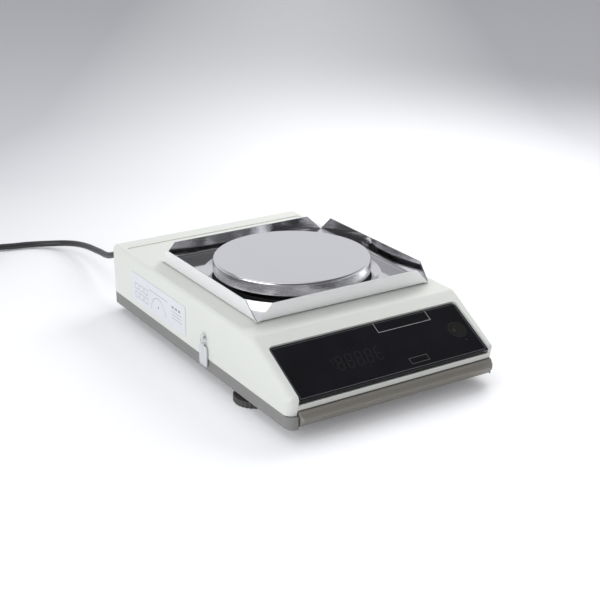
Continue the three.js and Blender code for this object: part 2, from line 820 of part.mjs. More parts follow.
// The bay's right end lies in the side wall, so only its left end needs a wall of its own.
const bayWall = blockSolid(bayLeft - baseWall, halfWidth - baseWall / 2, bayY, bayY + baseWall,
  underClearance, baseTop);
const bayCut = blockSolid(bayLeft, bayRight, baseFrontY - overrun, bayY, underClearance - overrun,
  baseTop + overrun);
const bayCorner = blockSolid(bayLeft - baseWall, bayLeft, baseFrontY + baseWall / 2, bayY + baseWall,
  underClearance, baseTop);
const ribs = [];
const ribReach = Math.floor((bodyDepth / 2 - baseWall) / ribPitch);
for (let i = -ribReach; i <= ribReach; i += 1) {
  ribs.push(blockSolid(-halfWidth + baseWall / 2, halfWidth - baseWall / 2,
    i * ribPitch - ribWidth / 2, i * ribPitch + ribWidth / 2, floorTop - baseFloor / 2,
    floorTop + ribRise));
}
for (const side of [-1, 1]) {
  const x = side * (cellHalfWidth + baseWall);
  ribs.push(blockSolid(x - ribWidth / 2, x + ribWidth / 2, bayY + baseWall / 2, rearY - baseWall / 2,
    floorTop - baseFloor / 2, floorTop + ribHeight));
}
const wheelPlaces = [['left', -wheelX], ['right', wheelX]];
const studBosses = wheelPlaces.map(([, x]) => solidOf(moved(
  rod(studBossRadius, wheelHeight + gap, underClearance + studBossHeight), x, wheelY, 0)));
const studHoles = wheelPlaces.map(([, x]) => solidOf(moved(
  rod(studRadius + gap, wheelHeight - overrun, underClearance + studBossHeight + overrun), x, wheelY, 0)));
const baseBosses = screwPlaces.map(([x, y]) => solidOf(moved(
  rod(screwBossRadius + gap, underClearance, baseTop), x, y, 0)));
const baseScrewHoles = screwPlaces.map(([x, y]) => solidOf(moved(turned([
  [0, underClearance - overrun], [screwHeadRadius + gap, underClearance - overrun],
  [screwHeadRadius + gap, underClearance + screwHeadHeight + gap * 2],
  [screwShankRadius + gap, underClearance + screwHeadHeight + gap * 2],
  [screwShankRadius + gap, baseTop + overrun], [0, baseTop + overrun],
]), x, y, 0)));
const rearFootHoles = [-1, 1].map((side) => solidOf(moved(
  rod(rearFootStem + gap, underClearance - overrun, floorTop + overrun), side * rearFootX, rearFootY, 0)));
const cellPads = [[-1, cellFront], [1, cellFront], [-1, cellRear], [1, cellRear]].map(([side, y]) => {
  const inset = Math.sign(cellRear / 2 - y) * postRadius * 2;
  return solidOf(moved(rod(postRadius * 1.5, floorTop - baseFloor / 2, floorTop + cellRise - gap),
    side * (cellHalfWidth - postRadius * 2), y + inset, 0));
});
const boardEnds = [mainBoardFront, mainBoardRear];
const boardPosts = [mainBoardLeft, mainBoardRight].flatMap((x, i) => boardEnds.map((y, j) =>
  solidOf(moved(rod(postRadius, floorTop - baseFloor / 2, floorTop + boardRise - gap),
    x + (i ? -boardPostInset : boardPostInset), y + (j ? -boardPostInset : boardPostInset), 0))));
const transformerPads = [-1, 1].map((side) => blockSolid(
  transformerX + side * transformerWidth / 3 - postRadius,
  transformerX + side * transformerWidth / 3 + postRadius,
  transformerY - transformerDepth / 2, transformerY + transformerDepth / 2,
  floorTop - baseFloor / 2, floorTop + cellRise - gap));
const armX = [-armOffset, armOffset];
const ears = armX.flatMap((x) => [-1, 1].map((side) => {
  const inner = x + side * (armWidth / 2 + gap * 1.5);
  const outer = inner + side * earThickness;
  return blockSolid(inner, outer, pivotY - earDepth / 2, pivotY + earDepth / 2,
    floorTop - baseFloor / 2, pivotZ + pivotHubRadius);
}));
const pinHoles = armX.map((x) => solidOf(moved(
  rod(pivotPinRadius + gap, -pivotPinLength, pivotPinLength, 'x'), x, pivotY, pivotZ)));
const armSlots = armX.map((x) => blockSolid(x - armWidth / 2 - gap * 2, x + armWidth / 2 + gap * 2,
  bayY - overrun, bayY + baseWall + overrun, floorTop, baseTop + overrun));
const springTipY = pivotY + springLength;
const springZ = pivotZ + armHeight / 2 + gap * 2;
const springPosts = armX.map((x) => without(
  blockSolid(x - postRadius, x + postRadius, springTipY - postRadius, springTipY + postRadius,
    floorTop - baseFloor / 2, springZ + springThickness + postRadius / 2),
  blockSolid(x - postRadius - overrun, x + postRadius + overrun, springTipY - postRadius - overrun,
    springTipY + gap, springZ - gap, springZ + springThickness + gap)));
const portHole = solidOf(rod(portRadius, underClearance - overrun, floorTop + overrun));
const portScrewHole = solidOf(moved(
  rod(portScrewRadius + gap, underClearance - overrun, floorTop + overrun, 'z', 12), portScrewX, 0, 0));
const floorSolids = [...ribs, ...studBosses, ...baseBosses, ...cellPads, ...boardPosts, ...transformerPads,
  ...ears, ...springPosts, bayWall, bayCorner];
const baseCasting = without(joined(tray, ...floorSolids), bayCut, ...studHoles, ...baseScrewHoles,
  ...rearFootHoles, ...pinHoles, ...armSlots, portHole, portScrewHole);
addPart('base_casting', geometryOf(baseCasting), 'base');

const portPlateTop = underClearance - gap;
const portPlateBottom = portPlateTop - portPlate;
const portPlateReach = portRadius + portLip;
const portPlateOutline = roundedOutline([
  [-portPlateReach, -portPlateReach, portPlateReach * 0.9],
  [portPlateReach, -portPlateReach, portPlateReach / 2],
  [portScrewX + portTabRadius, -portTabRadius, portTabRadius * 0.9],
  [portScrewX + portTabRadius, portTabRadius, portTabRadius * 0.9],
  [portPlateReach, portPlateReach, portPlateReach / 2],
  [-portPlateReach, portPlateReach, portPlateReach * 0.9],
]);
const portPlateHole = solidOf(moved(
  rod(portScrewRadius + gap, portPlateBottom - overrun, underClearance, 'z', 12),
  portScrewX, 0, 0));
addPart('port_cover', geometryOf(solidOf(
  extruded(portPlateOutline, 'z', portPlateBottom, portPlateTop)).subtract(portPlateHole)), 'steel');
addPart('port_screw', moved(turned([
  [0, portPlateBottom - gap - portPlate], [portScrewHead * 0.7, portPlateBottom - gap - portPlate],
  [portScrewHead, portPlateBottom - gap - portPlate / 2], [portScrewHead, portPlateBottom - gap],
  [portScrewRadius, portPlateBottom - gap], [portScrewRadius, floorTop + gap], [0, floorTop + gap],
], 'z', 12), portScrewX, 0, 0), 'steel');

screwPlaces.forEach(([x, y], i) => {
  const headBottom = underClearance + gap;
  const names = ['cover_screw_front_left', 'cover_screw_rear_left', 'cover_screw_front_right',
    'cover_screw_rear_right'];
  addPart(names[i], moved(turned([
    [0, headBottom], [screwHeadRadius * 0.8, headBottom],
    [screwHeadRadius, headBottom + screwHeadHeight / 2],
    [screwHeadRadius, headBottom + screwHeadHeight], [screwShankRadius, headBottom + screwHeadHeight],
    [screwShankRadius, screwTop - screwShankRadius], [0, screwTop],
  ], 'z', 12), x, y, 0), 'steel');
});

// Feet: two levelling wheels on studs in front, two rubber feet behind
const wheelOutline = Array.from({ length: wheelFlutes * 2 }, (_, i) => {
  const angle = Math.PI * i / wheelFlutes;
  const radius = wheelRadius - (i % 2 ? wheelFluteDepth : 0);
  return new THREE.Vector2(radius * Math.cos(angle), radius * Math.sin(angle));
});
wheelPlaces.forEach(([side, x]) => {
  addPart(`levelling_wheel_${side}`, moved(extruded(wheelOutline, 'z', 0, wheelHeight), x, wheelY, 0),
    'wheel');
  addPart(`levelling_stud_${side}`, moved(turned([
    [0, wheelHeight + gap], [studRadius, wheelHeight + gap],
    [studRadius, wheelHeight + studLength - studRadius / 3], [studRadius / 2, wheelHeight + studLength],
    [0, wheelHeight + studLength],
  ], 'z', 16), x, wheelY, 0), 'steel');
  addPart(`rear_foot_${side}`, moved(turned([
    [0, 0], [rearFootRadius - rearFootChamfer, 0], [rearFootRadius, underClearance / 2],
    [rearFootRadius - rearFootTaper, underClearance - gap],
    [rearFootStem, underClearance - gap], [rearFootStem, floorTop + gap],
    [rearFootBarb, floorTop + gap * 2],
    [rearFootStem / 2, floorTop + rearFootStem], [0, floorTop + rearFootStem],
  ]), Math.sign(x) * rearFootX, rearFootY, 0), 'rubber');
});

// Control bar: a hollow channel with a hollowed upper face and a round nose, two arms and their hubs
const barTop = lipBottom - barTopGap;
const barFrontY = frontY - barReach;
const barBackY = barFrontY + barBackDepth;
const barCorners = [
  { y: barBackY, z: barBottom, arc: 0, wall: -overrun },
  { y: barBackY, z: barTop, arc: 0, wall: barWall },
  { y: barBackY - barTopDepth, z: barTop, arc: 0, wall: barWall },
  { y: barBackY - barNeckDepth, z: barTop - barNeckDrop, arc: barNeckRadius, wall: barWall },
  { y: barFrontY - barNosePoint, z: barTop - barNoseDrop, arc: barNoseRadius, wall: barWall },
  { y: barBackY - barFootDepth, z: barBottom, arc: barFootRadius, wall: barWall },
];
const barOutline = roundedOutline(barCorners.map(({ y, z, arc }) => [y, z, arc]));
const barHollow = barCorners.map((corner, i) => {
  const before = barCorners.at(i - 1);
  const after = barCorners[(i + 1) % barCorners.length];
  return drawnIn(corner, inwardNormal(before, corner), inwardNormal(corner, after),
    before.wall, corner.wall);
});
const barPitch = (barHalfLength - barWall) * 2 / barRibCount;
const barCells = Array.from({ length: barRibCount }, (_, i) => {
  const low = barLeft + barWall + i * barPitch;
  return solidOf(extruded(barHollow, 'x', low, low + barPitch - (i < barRibCount - 1 ? barWall : 0)));
});
const armTail = pivotHubRadius + springTail;
const arms = armX.map((x) => joined(
  blockSolid(x - armWidth / 2, x + armWidth / 2, barFrontY + barWall * 2, pivotY + armTail,
    pivotZ - armHeight / 2, pivotZ + armHeight / 2),
  solidOf(moved(rod(pivotHubRadius, -armWidth / 2, armWidth / 2, 'x'), x, pivotY, pivotZ)),
));
const hubBores = armX.map((x) => solidOf(moved(
  rod(pivotPinRadius + gap, -armWidth, armWidth, 'x'), x, pivotY, pivotZ)));
const barPlan = solidOf(extruded(roundedOutline([
  [barLeft, barFrontY, barEndRadius], [barRight, barFrontY, barEndRadius],
  [barRight, barBackY + overrun], [barLeft, barBackY + overrun],
]), 'z', barBottom - overrun, barTop + overrun));
const barBody = without(
  solidOf(extruded(barOutline, 'x', barLeft, barRight)).intersect(barPlan), ...barCells);
addPart('control_bar', geometryOf(without(joined(barBody, ...arms), ...hubBores)), 'bar');
['left', 'right'].forEach((side, i) => {
  addPart(`bar_pivot_${side}`, moved(rod(pivotPinRadius, -pivotPinLength / 2, pivotPinLength / 2, 'x', 12),
    armX[i], pivotY, pivotZ), 'steel');
  addPart(`bar_spring_${side}`, block(armX[i] - springWidth / 2, armX[i] + springWidth / 2,
    pivotY + pivotHubRadius + gap, springTipY, springZ, springZ + springThickness), 'steel');
});
// A low push switch lies on the floor under the right arm.
const switchBottom = floorTop + gap;
const [switchX, switchY] = [armX[1], frontY + switchRun];
const switchBody = blockSolid(switchX - switchSize / 2, switchX + switchSize / 2,
  switchY - switchSize / 2, switchY + switchSize / 2, switchBottom, switchBottom + switchHeight);
const switchKnob = solidOf(moved(rod(switchButtonRadius, switchBottom + switchHeight / 2,
  switchBottom + switchHeight + switchButton, 'z', 12), switchX, switchY, 0));
addPart('bar_switch', geometryOf(joined(switchBody, switchKnob)), 'blackPlastic');

// Weighing cell: frame, parallel guides, hanger, lever, magnet and coil
const cellBottom = floorTop + cellRise;
const towerFront = cellRear - towerDepth;
const fulcrumPosts = [-1, 1].map((side) => blockSolid(
  side * fulcrumPostOffset, side * (fulcrumPostOffset + fulcrumPostWidth),
  fulcrumY - fulcrumPostDepth / 2, fulcrumY + fulcrumPostDepth / 2,
  cellBottom, fulcrumZ + leverHeight / 2));
const cellOutline = roundedRectangle(-cellHalfWidth, cellHalfWidth, cellFront, cellRear, postRadius);
const towerNotch = blockSolid(-cellHalfWidth / 2, cellHalfWidth / 2, towerFront + towerDepth / 2,
  cellRear + overrun,
  cellBottom + cellPlate * 2, towerTop - cellPlate);
addPart('cell_frame', geometryOf(without(
  joined(
    solidOf(extruded(cellOutline, 'z', cellBottom, cellBottom + cellPlate)),
    blockSolid(-cellHalfWidth, cellHalfWidth, towerFront, cellRear - postRadius, cellBottom, towerTop),
    ...fulcrumPosts,
  ),
  towerNotch,
)), 'castMetal');

function guideFrame(z) {
  const outer = blockSolid(-guideWidth / 2, guideWidth / 2, hangerHalfDepth + gap, towerFront - gap,
    z, z + guideThickness);
  const inner = blockSolid(-guideWidth / 2 + guideStrip, guideWidth / 2 - guideStrip,
    hangerHalfDepth + gap + guideStrip, towerFront - gap - guideStrip, z - overrun,
    z + guideThickness + overrun);
  return geometryOf(outer.subtract(inner));
}
addPart('lower_guide', guideFrame(lowerGuideZ), 'steel');
addPart('upper_guide', guideFrame(upperGuideZ), 'steel');

const hangerSlotCut = blockSolid(-leverHalfWidth - runningGap, leverHalfWidth + runningGap,
  hangerHalfDepth - hangerSlot, hangerHalfDepth + overrun,
  fulcrumZ - leverHeight / 2 - runningGap, fulcrumZ + leverHeight / 2 + runningGap);
addPart('hanger', geometryOf(blockSolid(-hangerHalfWidth, hangerHalfWidth, -hangerHalfDepth,
  hangerHalfDepth,
  lowerGuideZ - runningGap, hangerTop).subtract(hangerSlotCut)), 'aluminium');

const leverOutline = [
  [hangerHalfDepth - hangerSlot + runningGap, -leverHeight / 2],
  [leverTailY - sensorSlotDepth, -leverHeight / 2],
  [leverTailY - sensorSlotDepth, -leverFlag / 2], [leverTailY, -leverFlag / 2], [leverTailY, leverFlag / 2],
  [leverTailY - sensorSlotDepth, leverFlag / 2], [leverTailY - sensorSlotDepth * 2, leverHeight / 2],
  [hangerHalfDepth - hangerSlot + runningGap, leverHeight / 2],
].map(([y, z]) => new THREE.Vector2(y, z + fulcrumZ));
const leverCross = blockSolid(-fulcrumPostOffset + gap, fulcrumPostOffset - gap,
  fulcrumY - leverCrossDepth / 2, fulcrumY + leverCrossDepth / 2,
  fulcrumZ - leverHeight / 2, fulcrumZ + leverHeight / 2);
addPart('lever_beam', geometryOf(joined(
  solidOf(extruded(leverOutline, 'x', -leverHalfWidth, leverHalfWidth)), leverCross)), 'aluminium');

const coilTop = fulcrumZ - leverHeight / 2 - gap;
addPart('force_coil', moved(turned([
  [0, coilTop - coilWall], [coilRadius - coilWall, coilTop - coilWall],
  [coilRadius - coilWall, coilTop - coilDrop],
  [coilRadius, coilTop - coilDrop], [coilRadius, coilTop], [0, coilTop],
], 'z', 24), 0, magnetY, 0), 'copper');
const potBottom = cellBottom + cellPlate + gap;
addPart('magnet_pot', moved(turned([
  [0, potBottom], [potRadius, potBottom], [potRadius, potTop], [potRadius - potWall, potTop],
  [potRadius - potWall, potBottom + potFloor], [0, potBottom + potFloor],
], 'z', 24), 0, magnetY, 0), 'magnet');
addPart('magnet_core', moved(rod(magnetRadius, potBottom + potFloor + gap,
  potBottom + potFloor + magnetHeight - gap, 'z', 24), 0, magnetY, 0), 'aluminium');
addPart('position_sensor', geometryOf(blockSolid(-sensorHalfWidth, sensorHalfWidth,
  towerFront - gap - sensorSlotDepth - cellPlate, towerFront - gap,
  fulcrumZ - sensorHeight / 2, fulcrumZ + sensorHeight / 2).subtract(blockSolid(
  -sensorHalfWidth - overrun, sensorHalfWidth + overrun,
  towerFront - gap - sensorSlotDepth - cellPlate - overrun,
  leverTailY + runningGap, fulcrumZ - sensorSlot / 2, fulcrumZ + sensorSlot / 2))), 'blackPlastic');

// Pan carrier, pan, collar ring and draft shield, all round the pan's axis
const seatBottom = carrierDiscZ + carrierDiscHeight;
addPart('pan_carrier', turned([
  [0, hangerTop + gap], [carrierStemRadius, hangerTop + gap], [carrierStemRadius, carrierDiscZ],
  [carrierDiscRadius, carrierDiscZ + carrierDiscHeight / 3], [carrierDiscRadius, seatBottom],
  [seatRadius, seatBottom], [seatTipRadius, seatBottom + seatHeight], [0, seatBottom + seatHeight],
], 'z', 32), 'aluminium');

const panEdge = roundedOutline([
  [panRadius - panSheet, panTop - panSkirt], [panRadius, panTop - panSkirt],
  [panRadius, panTop, panEdgeRadius], [0, panTop],
], 5).map((point) => [point.x, point.y]);
const hubBottom = seatBottom + gap;
addPart('weighing_pan', turned([
  [0, seatBottom + seatHeight + gap], [seatTipRadius + gap, seatBottom + seatHeight + gap],
  [seatRadius + gap, hubBottom], [hubRadius, hubBottom], [hubRadius, panTop - panSheet * 2],
  [hubRadius + panSheet, panTop - panSheet], [panRadius - panSheet * 2, panTop - panSheet],
  [panRadius - panSheet, panTop - panSheet * 2], ...panEdge,
], 'z', largeRoundSides), 'steel');

const collarOuter = wellRadius - gap * 4;
const collarBottom = wellFloorTop + gap;
addPart('collar_ring', turned([
  [collarInner, collarBottom], [collarOuter, collarBottom], [collarOuter, collarBottom + collarFloor * 2],
  [collarRidge + collarRidgeWidth, collarBottom + collarFloor * 1.5],
  [collarRidge + collarRidgeWidth, collarBottom + collarRidgeHeight - collarRidgeWidth / 2],
  [collarRidge + collarRidgeWidth / 2, collarBottom + collarRidgeHeight],
  [collarRidge, collarBottom + collarRidgeHeight - collarRidgeWidth / 2],
  [collarRidge, collarBottom + collarFloor], [collarInner + collarRidgeWidth, collarBottom + collarFloor],
  [collarInner + collarRidgeWidth, collarBottom + collarInnerHeight],
  [collarInner, collarBottom + collarInnerHeight], [collarInner, collarBottom],
], 'z', largeRoundSides), 'blackPlastic');

const shieldHalf = shieldSize / 2;
const plateTop = shieldBottom + shieldSheet;
const foldInner = shieldHalf - shieldFold * 2;
const foldSection = roundedOutline([
  [shieldBottom, foldInner], [shieldBottom, shieldHalf, shieldFold],
  [shieldTop, shieldHalf + shieldLean], [shieldTop, shieldHalf + shieldLean - shieldSheet],
  [plateTop, shieldHalf - shieldSheet, shieldFold - shieldSheet], [plateTop, foldInner],
], foldSteps).map((point) => new THREE.Vector2(point.y, point.x));
const wallFace = [
  [-shieldHalf, shieldBottom], [shieldHalf, shieldBottom],
  [shieldHalf - shieldCut, shieldTop], [-shieldHalf + shieldCut, shieldTop],
].map(([a, z]) => new THREE.Vector2(z, a));
// One wall is made on the rear side and turned to the other three.
const rearWall = solidOf(extruded(foldSection, 'x', -shieldHalf, shieldHalf))
  .intersect(solidOf(extruded(wallFace, 'y', 0, shieldSize)));
const shieldWalls = [0, 1, 2, 3].map((quarter) => solidOf(
  geometryOf(rearWall).applyMatrix4(new THREE.Matrix4().makeRotationZ(Math.PI / 2 * quarter))));
const shieldSlab = solidOf(extruded(roundedRectangle(-shieldHalf + shieldFold, shieldHalf - shieldFold,
  -shieldHalf + shieldFold, shieldHalf - shieldFold, shieldFold, foldSteps),
'z', shieldBottom - lipDrop, plateTop));

// The sheet runs level to the lip and is drawn down from there into the well.
function lipCurve(level) {
  return roundedOutline([
    [shieldHole, level - lipDrop], [lipStart, level, lipBend], [shieldSize, level],
  ], foldSteps).slice(0, -1).map((point) => [point.x, point.y]);
}

const aboveSheet = solidOf(turned([
  [0, plateTop - lipDrop], ...lipCurve(plateTop), [lipStart + lipBend, plateTop + overrun],
  [0, plateTop + overrun],
], 'z', largeRoundSides));
const belowSheet = solidOf(turned([
  [0, shieldBottom - lipDrop - overrun], [shieldSize, shieldBottom - lipDrop - overrun],
  [shieldSize, shieldBottom], ...lipCurve(shieldBottom).reverse(), [0, shieldBottom - lipDrop],
], 'z', largeRoundSides));
const shieldOpening = solidOf(rod(shieldHole, shieldBottom - lipDrop - overrun, shieldTop, 'z',
  largeRoundSides));
const shieldPlate = without(shieldSlab, aboveSheet, belowSheet, shieldOpening);
addPart('draft_shield', geometryOf(joined(shieldPlate, ...shieldWalls)), 'steel');

// Transformer, main board and what stands on it
const transformerBottom = floorTop + cellRise;
const transformerTop = transformerBottom + transformerHeight;
const legWidth = (transformerWidth - transformerWindow * 2) / 4;
const stackHalf = transformerDepth / 2 - windingBulge;
const core = without(
  blockSolid(transformerLeft, transformerRight, transformerY - stackHalf, transformerY + stackHalf,
    transformerBottom, transformerTop),
  ...[-1, 1].map((side) => {
    const inner = transformerX + side * legWidth;
    const outer = inner + side * transformerWindow;
    return blockSolid(inner, outer, transformerY - stackHalf - overrun, transformerY + stackHalf + overrun,
      transformerBottom + legWidth, transformerTop - legWidth);
  }),
);
addPart('transformer_core', geometryOf(core), 'castMetal');
const windingHalf = legWidth + transformerWindow - gap;
const winding = without(
  solidOf(extruded(roundedRectangle(transformerX - windingHalf, transformerX + windingHalf,
    transformerY - stackHalf - windingBulge, transformerY + stackHalf + windingBulge, windingBulge / 2),
  'z', transformerBottom + legWidth + gap, transformerTop - legWidth - gap)),
  blockSolid(transformerX - legWidth - gap, transformerX + legWidth + gap, transformerY - stackHalf - gap,
    transformerY + stackHalf + gap, transformerBottom, transformerTop),
);
addPart('transformer_winding', geometryOf(winding), 'copper');

const mainBoardBottom = floorTop + boardRise;
const partsBottom = mainBoardBottom + boardThickness + gap;
addPart('main_board', block(mainBoardLeft, mainBoardRight, mainBoardFront, mainBoardRear,
  mainBoardBottom, mainBoardBottom + boardThickness), 'board');
const boardX = (mainBoardLeft + mainBoardRight) / 2;
const sinkPitch = (sinkDepth - finThickness) / (finCount - 1);
const fins = Array.from({ length: finCount }, (_, i) => {
  const left = boardX - sinkDepth / 2 + i * sinkPitch;
  return blockSolid(left, left + finThickness, sinkY - sinkLength / 2, sinkY + sinkLength / 2,
    partsBottom, partsBottom + finHeight);
});
addPart('heat_sink', geometryOf(joined(blockSolid(boardX - sinkDepth / 2, boardX + sinkDepth / 2,
  sinkY - sinkLength / 2, sinkY + sinkLength / 2, partsBottom, partsBottom + finThickness * 2), ...fins)),
  'aluminium');
addPart('capacitor', moved(turned([
  [0, partsBottom], [capacitorRadius, partsBottom],
  [capacitorRadius, partsBottom + capacitorHeight - capacitorEdge],
  [capacitorRadius - capacitorEdge, partsBottom + capacitorHeight], [0, partsBottom + capacitorHeight],
]), boardX, capacitorY, 0), 'blackPlastic');

// Rear panel: fuse holder, voltage selector and the cover over the option slot
const innerRearY = rearY - coverWall - gap;
const fuseBore = fuseRadius - fuseWall;
addPart('fuse_holder', moved(turned([
  [0, fuseFront], [fuseRadius - gap, fuseFront], [fuseRadius - gap, innerRearY - coverWall],
  [fuseCapRadius, innerRearY - coverWall], [fuseCapRadius, innerRearY], [fuseRadius, innerRearY],
  [fuseRadius, rearY + gap], [fuseBore, rearY + gap], [fuseBore, fuseFront + fuseWall * 2],
  [0, fuseFront + fuseWall * 2],
], 'y'), fuseX, 0, cordExitHeight), 'blackPlastic');
const fuseCapBody = solidOf(turned([
  [0, innerRearY - coverWall * 2], [fuseBore - gap, innerRearY - coverWall * 2],
  [fuseBore - gap, rearY + gap * 2],
  [fuseCapRadius, rearY + gap * 2], [fuseCapRadius - gap * 2, rearY + rearReach], [0, rearY + rearReach],
], 'y'));
const fuseCapSlot = blockSolid(-fuseSlotWidth / 2, fuseSlotWidth / 2,
  rearY + rearReach - fuseSlotWidth, rearY
  + rearReach + overrun, -fuseBore, fuseBore);
addPart('fuse_cap', moved(geometryOf(fuseCapBody.subtract(fuseCapSlot)), fuseX, 0, cordExitHeight),
  'blackPlastic');
const slotHalf = selectorWidth / 3;
const slotHeight = selectorHeight / 2;
addPart('voltage_selector', geometryOf(without(
  blockSolid(selectorX - selectorWidth / 2, selectorX + selectorWidth / 2, rearY - selectorDepth, rearY,
    cordExitHeight - selectorHeight / 2, cordExitHeight + selectorHeight / 2),
  blockSolid(selectorX - slotHalf, selectorX + slotHalf, rearY - selectorSlotDepth, rearY + overrun,
    cordExitHeight - slotHeight / 2, cordExitHeight + slotHeight / 2),
)), 'blackPlastic');
addPart('selector_slider', geometryOf(without(
  blockSolid(selectorX - slotHalf + gap, selectorX - slotHalf + gap + slotHeight,
  rearY - selectorSlotDepth + gap,
    rearY - gap, cordExitHeight - slotHeight / 2 + gap, cordExitHeight + slotHeight / 2 - gap),
  blockSolid(selectorX - slotHalf + slotHeight / 2 - gap, selectorX - slotHalf + slotHeight / 2 + gap * 3,
    rearY - selectorSlotDepth / 2, rearY + overrun, cordExitHeight - slotHeight,
    cordExitHeight + slotHeight),
)), 'bar');
addPart('option_cover', geometryOf(joined(
  blockSolid(optionX - optionWidth / 2, optionX + optionWidth / 2, rearY - optionPlate + gap, rearY + gap,
    cordExitHeight - optionHeight / 2, cordExitHeight + optionHeight / 2),
  blockSolid(optionX - optionWidth / 2 + optionLip + gap, optionX + optionWidth / 2 - optionLip - gap,
    rearY - coverWall, rearY - optionPlate / 2, cordExitHeight - optionHeight / 2 + optionLip + gap,
    cordExitHeight + optionHeight / 2 - optionLip - gap),
)), 'cover');

// Side label and the wired seal on the left wall
addPart('side_label', block(-halfWidth - labelGap - labelThickness, -halfWidth - labelGap,
  labelFront, labelRear, labelBottom, labelTop), 'label');

const sealX = -halfWidth - gap - sealHeadReach / 2;
const wireTop = sealZ;
const wireBottom = wireTop - sealWireDrop;
const sealCross = solidOf(moved(rod(sealHoleRadius, -sealHeadRadius * 2, sealHeadRadius * 2, 'y', 12),
  sealX, sealY, sealZ));
const sealScrewBody = joined(
  solidOf(moved(rod(sealHeadRadius, sealX - sealHeadReach / 2, sealX + sealHeadReach / 2, 'x', 16), 0,
  sealY, sealZ)),
  solidOf(moved(rod(sealHeadRadius / 2, sealX, -halfWidth + coverWall + gap, 'x', 12), 0, sealY, sealZ)),
);
addPart('seal_screw', geometryOf(sealScrewBody.subtract(sealCross)), 'steel');
const wireHalf = sealWireWidth / 2;
const wireOutline = roundedOutline([
  [sealY - wireHalf, wireBottom, sealWireRadius * 3], [sealY + wireHalf, wireBottom, sealWireRadius * 3],
  [sealY + wireHalf, wireTop, sealWireRadius * 3], [sealY - wireHalf, wireTop, sealWireRadius * 3],
], 3);

// A closed wire loop: a ring of small squares round the outline.
function wireLoop(outline, x, radius) {
  const count = outline.length;
  const positions = [];
  outline.forEach((point, i) => {
    const before = outline[(i + count - 1) % count];
    const after = outline[(i + 1) % count];
    const along = after.clone().sub(before).normalize();
    const out = new THREE.Vector2(along.y, -along.x);
    [[1, 0], [0, 1], [-1, 0], [0, -1]].forEach(([a, b]) => {
      positions.push(x + b * radius, point.x + out.x * a * radius, point.y + out.y * a * radius);
    });
  });
  const faces = [];
  for (let i = 0; i < count; i += 1) {
    const j = (i + 1) % count;
    for (let k = 0; k < 4; k += 1) {
      const m = (k + 1) % 4;
      faces.push(i * 4 + k, j * 4 + k, j * 4 + m, i * 4 + k, j * 4 + m, i * 4 + m);
    }
  }
  const geometry = new THREE.BufferGeometry();
  geometry.setAttribute('position', new THREE.Float32BufferAttribute(positions, 3));
  geometry.setIndex(faces);
  return geometry;
}
addPart('seal_wire', wireLoop(wireOutline, sealX, sealWireRadius), 'steel');

const tagTop = wireBottom - sealLugRadius;
const tagBody = joined(
  solidOf(extruded(roundedRectangle(sealY - sealTagWidth / 2, sealY + sealTagWidth / 2,
    wireBottom - sealTagLength, tagTop, sealTagWidth / 5), 'x', sealX - sealTagSheet / 2,
    sealX + sealTagSheet / 2)),
  solidOf(moved(rod(sealLugRadius, -sealLugWidth / 2, sealLugWidth / 2, 'y', 12), sealX, sealY,
  wireBottom)),
  blockSolid(sealX - sealTagSheet / 2, sealX + sealTagSheet / 2, sealY - sealLugWidth / 2,
  sealY + sealLugWidth / 2,
    tagTop - sealLugRadius, wireBottom - sealHoleRadius),
);
const tagHole = solidOf(moved(rod(sealHoleRadius - gap / 5, -sealLugWidth, sealLugWidth, 'y', 12), sealX,
  sealY, wireBottom));
addPart('seal_tag', geometryOf(tagBody.subtract(tagHole)), 'clear');

// Mains cord: strain relief, free stretch, coil with its tie, and the plug
const reliefEnd = rearY + gap + reliefLength;
const reliefProfile = [
  [0, innerRearY - coverWall], [reliefCollarRadius, innerRearY - coverWall],
  [reliefCollarRadius, innerRearY],
  [reliefNeckRadius, innerRearY], [reliefNeckRadius, rearY + gap], [reliefCollarRadius, rearY + gap],
  [reliefCollarRadius, rearY + coverWall], [reliefNeckRadius, rearY + coverWall],
];
const bootLength = reliefEnd - rearY - coverWall;
for (let i = 0; i < reliefRingCount; i += 1) {
  const start = rearY + coverWall + bootLength * (i + 0.5) / reliefRingCount;
  const ring = bootLength / reliefRingCount / 4;
  const radius = THREE.MathUtils.lerp(reliefNeckRadius, reliefTipRadius, (i + 0.5) / reliefRingCount);
  reliefProfile.push([radius, start - ring], [radius * 0.84, start - ring / 2],
  [radius * 0.84, start + ring / 2],
    [radius, start + ring]);
}
reliefProfile.push([reliefTipRadius, reliefEnd], [0, reliefEnd]);
addPart('strain_relief', moved(turned(reliefProfile, 'y'), cordX, 0, cordExitHeight), 'rubber');

// The free stretch's route, chosen by hand: out of the boot, down, along the table to the coil.
const cordRoute = [
  [cordX, 186.6, 36], [-70.2, 193, 35.9], [-70.7, 203, 34.4], [-71.4, 214, 30.9], [-71.2, 226, 26.6],
  [-69.6, 240, 23.2], [-67.6, 255, 20.6], [-66.2, 270, 18], [-65.4, 288, 15.4], [-65.8, 306, 12.6],
  [-68.4, 322, 9.9], [-74, 336, 7.4], [-82.5, 347, 5.4], [-93, 355.6, 4.3], [-106, 361.5, 4],
  [-120, 365, 4], [-134.8, 370, 4.1], [-150, 378.5, 4.2], [-164, 388.5, 4.3], [-179, 397.8, 4.4],
].map(([x, y, z]) => new THREE.Vector3(x, y, z));

const coilOuterRadius = coilInnerRadius + coilLayerTurns * coilPitch;
const coilLayerZ = [cordRadius + coilRaise, cordRadius + coilRaise + coilPitch];
const plugAxis = plugRadius + gap;

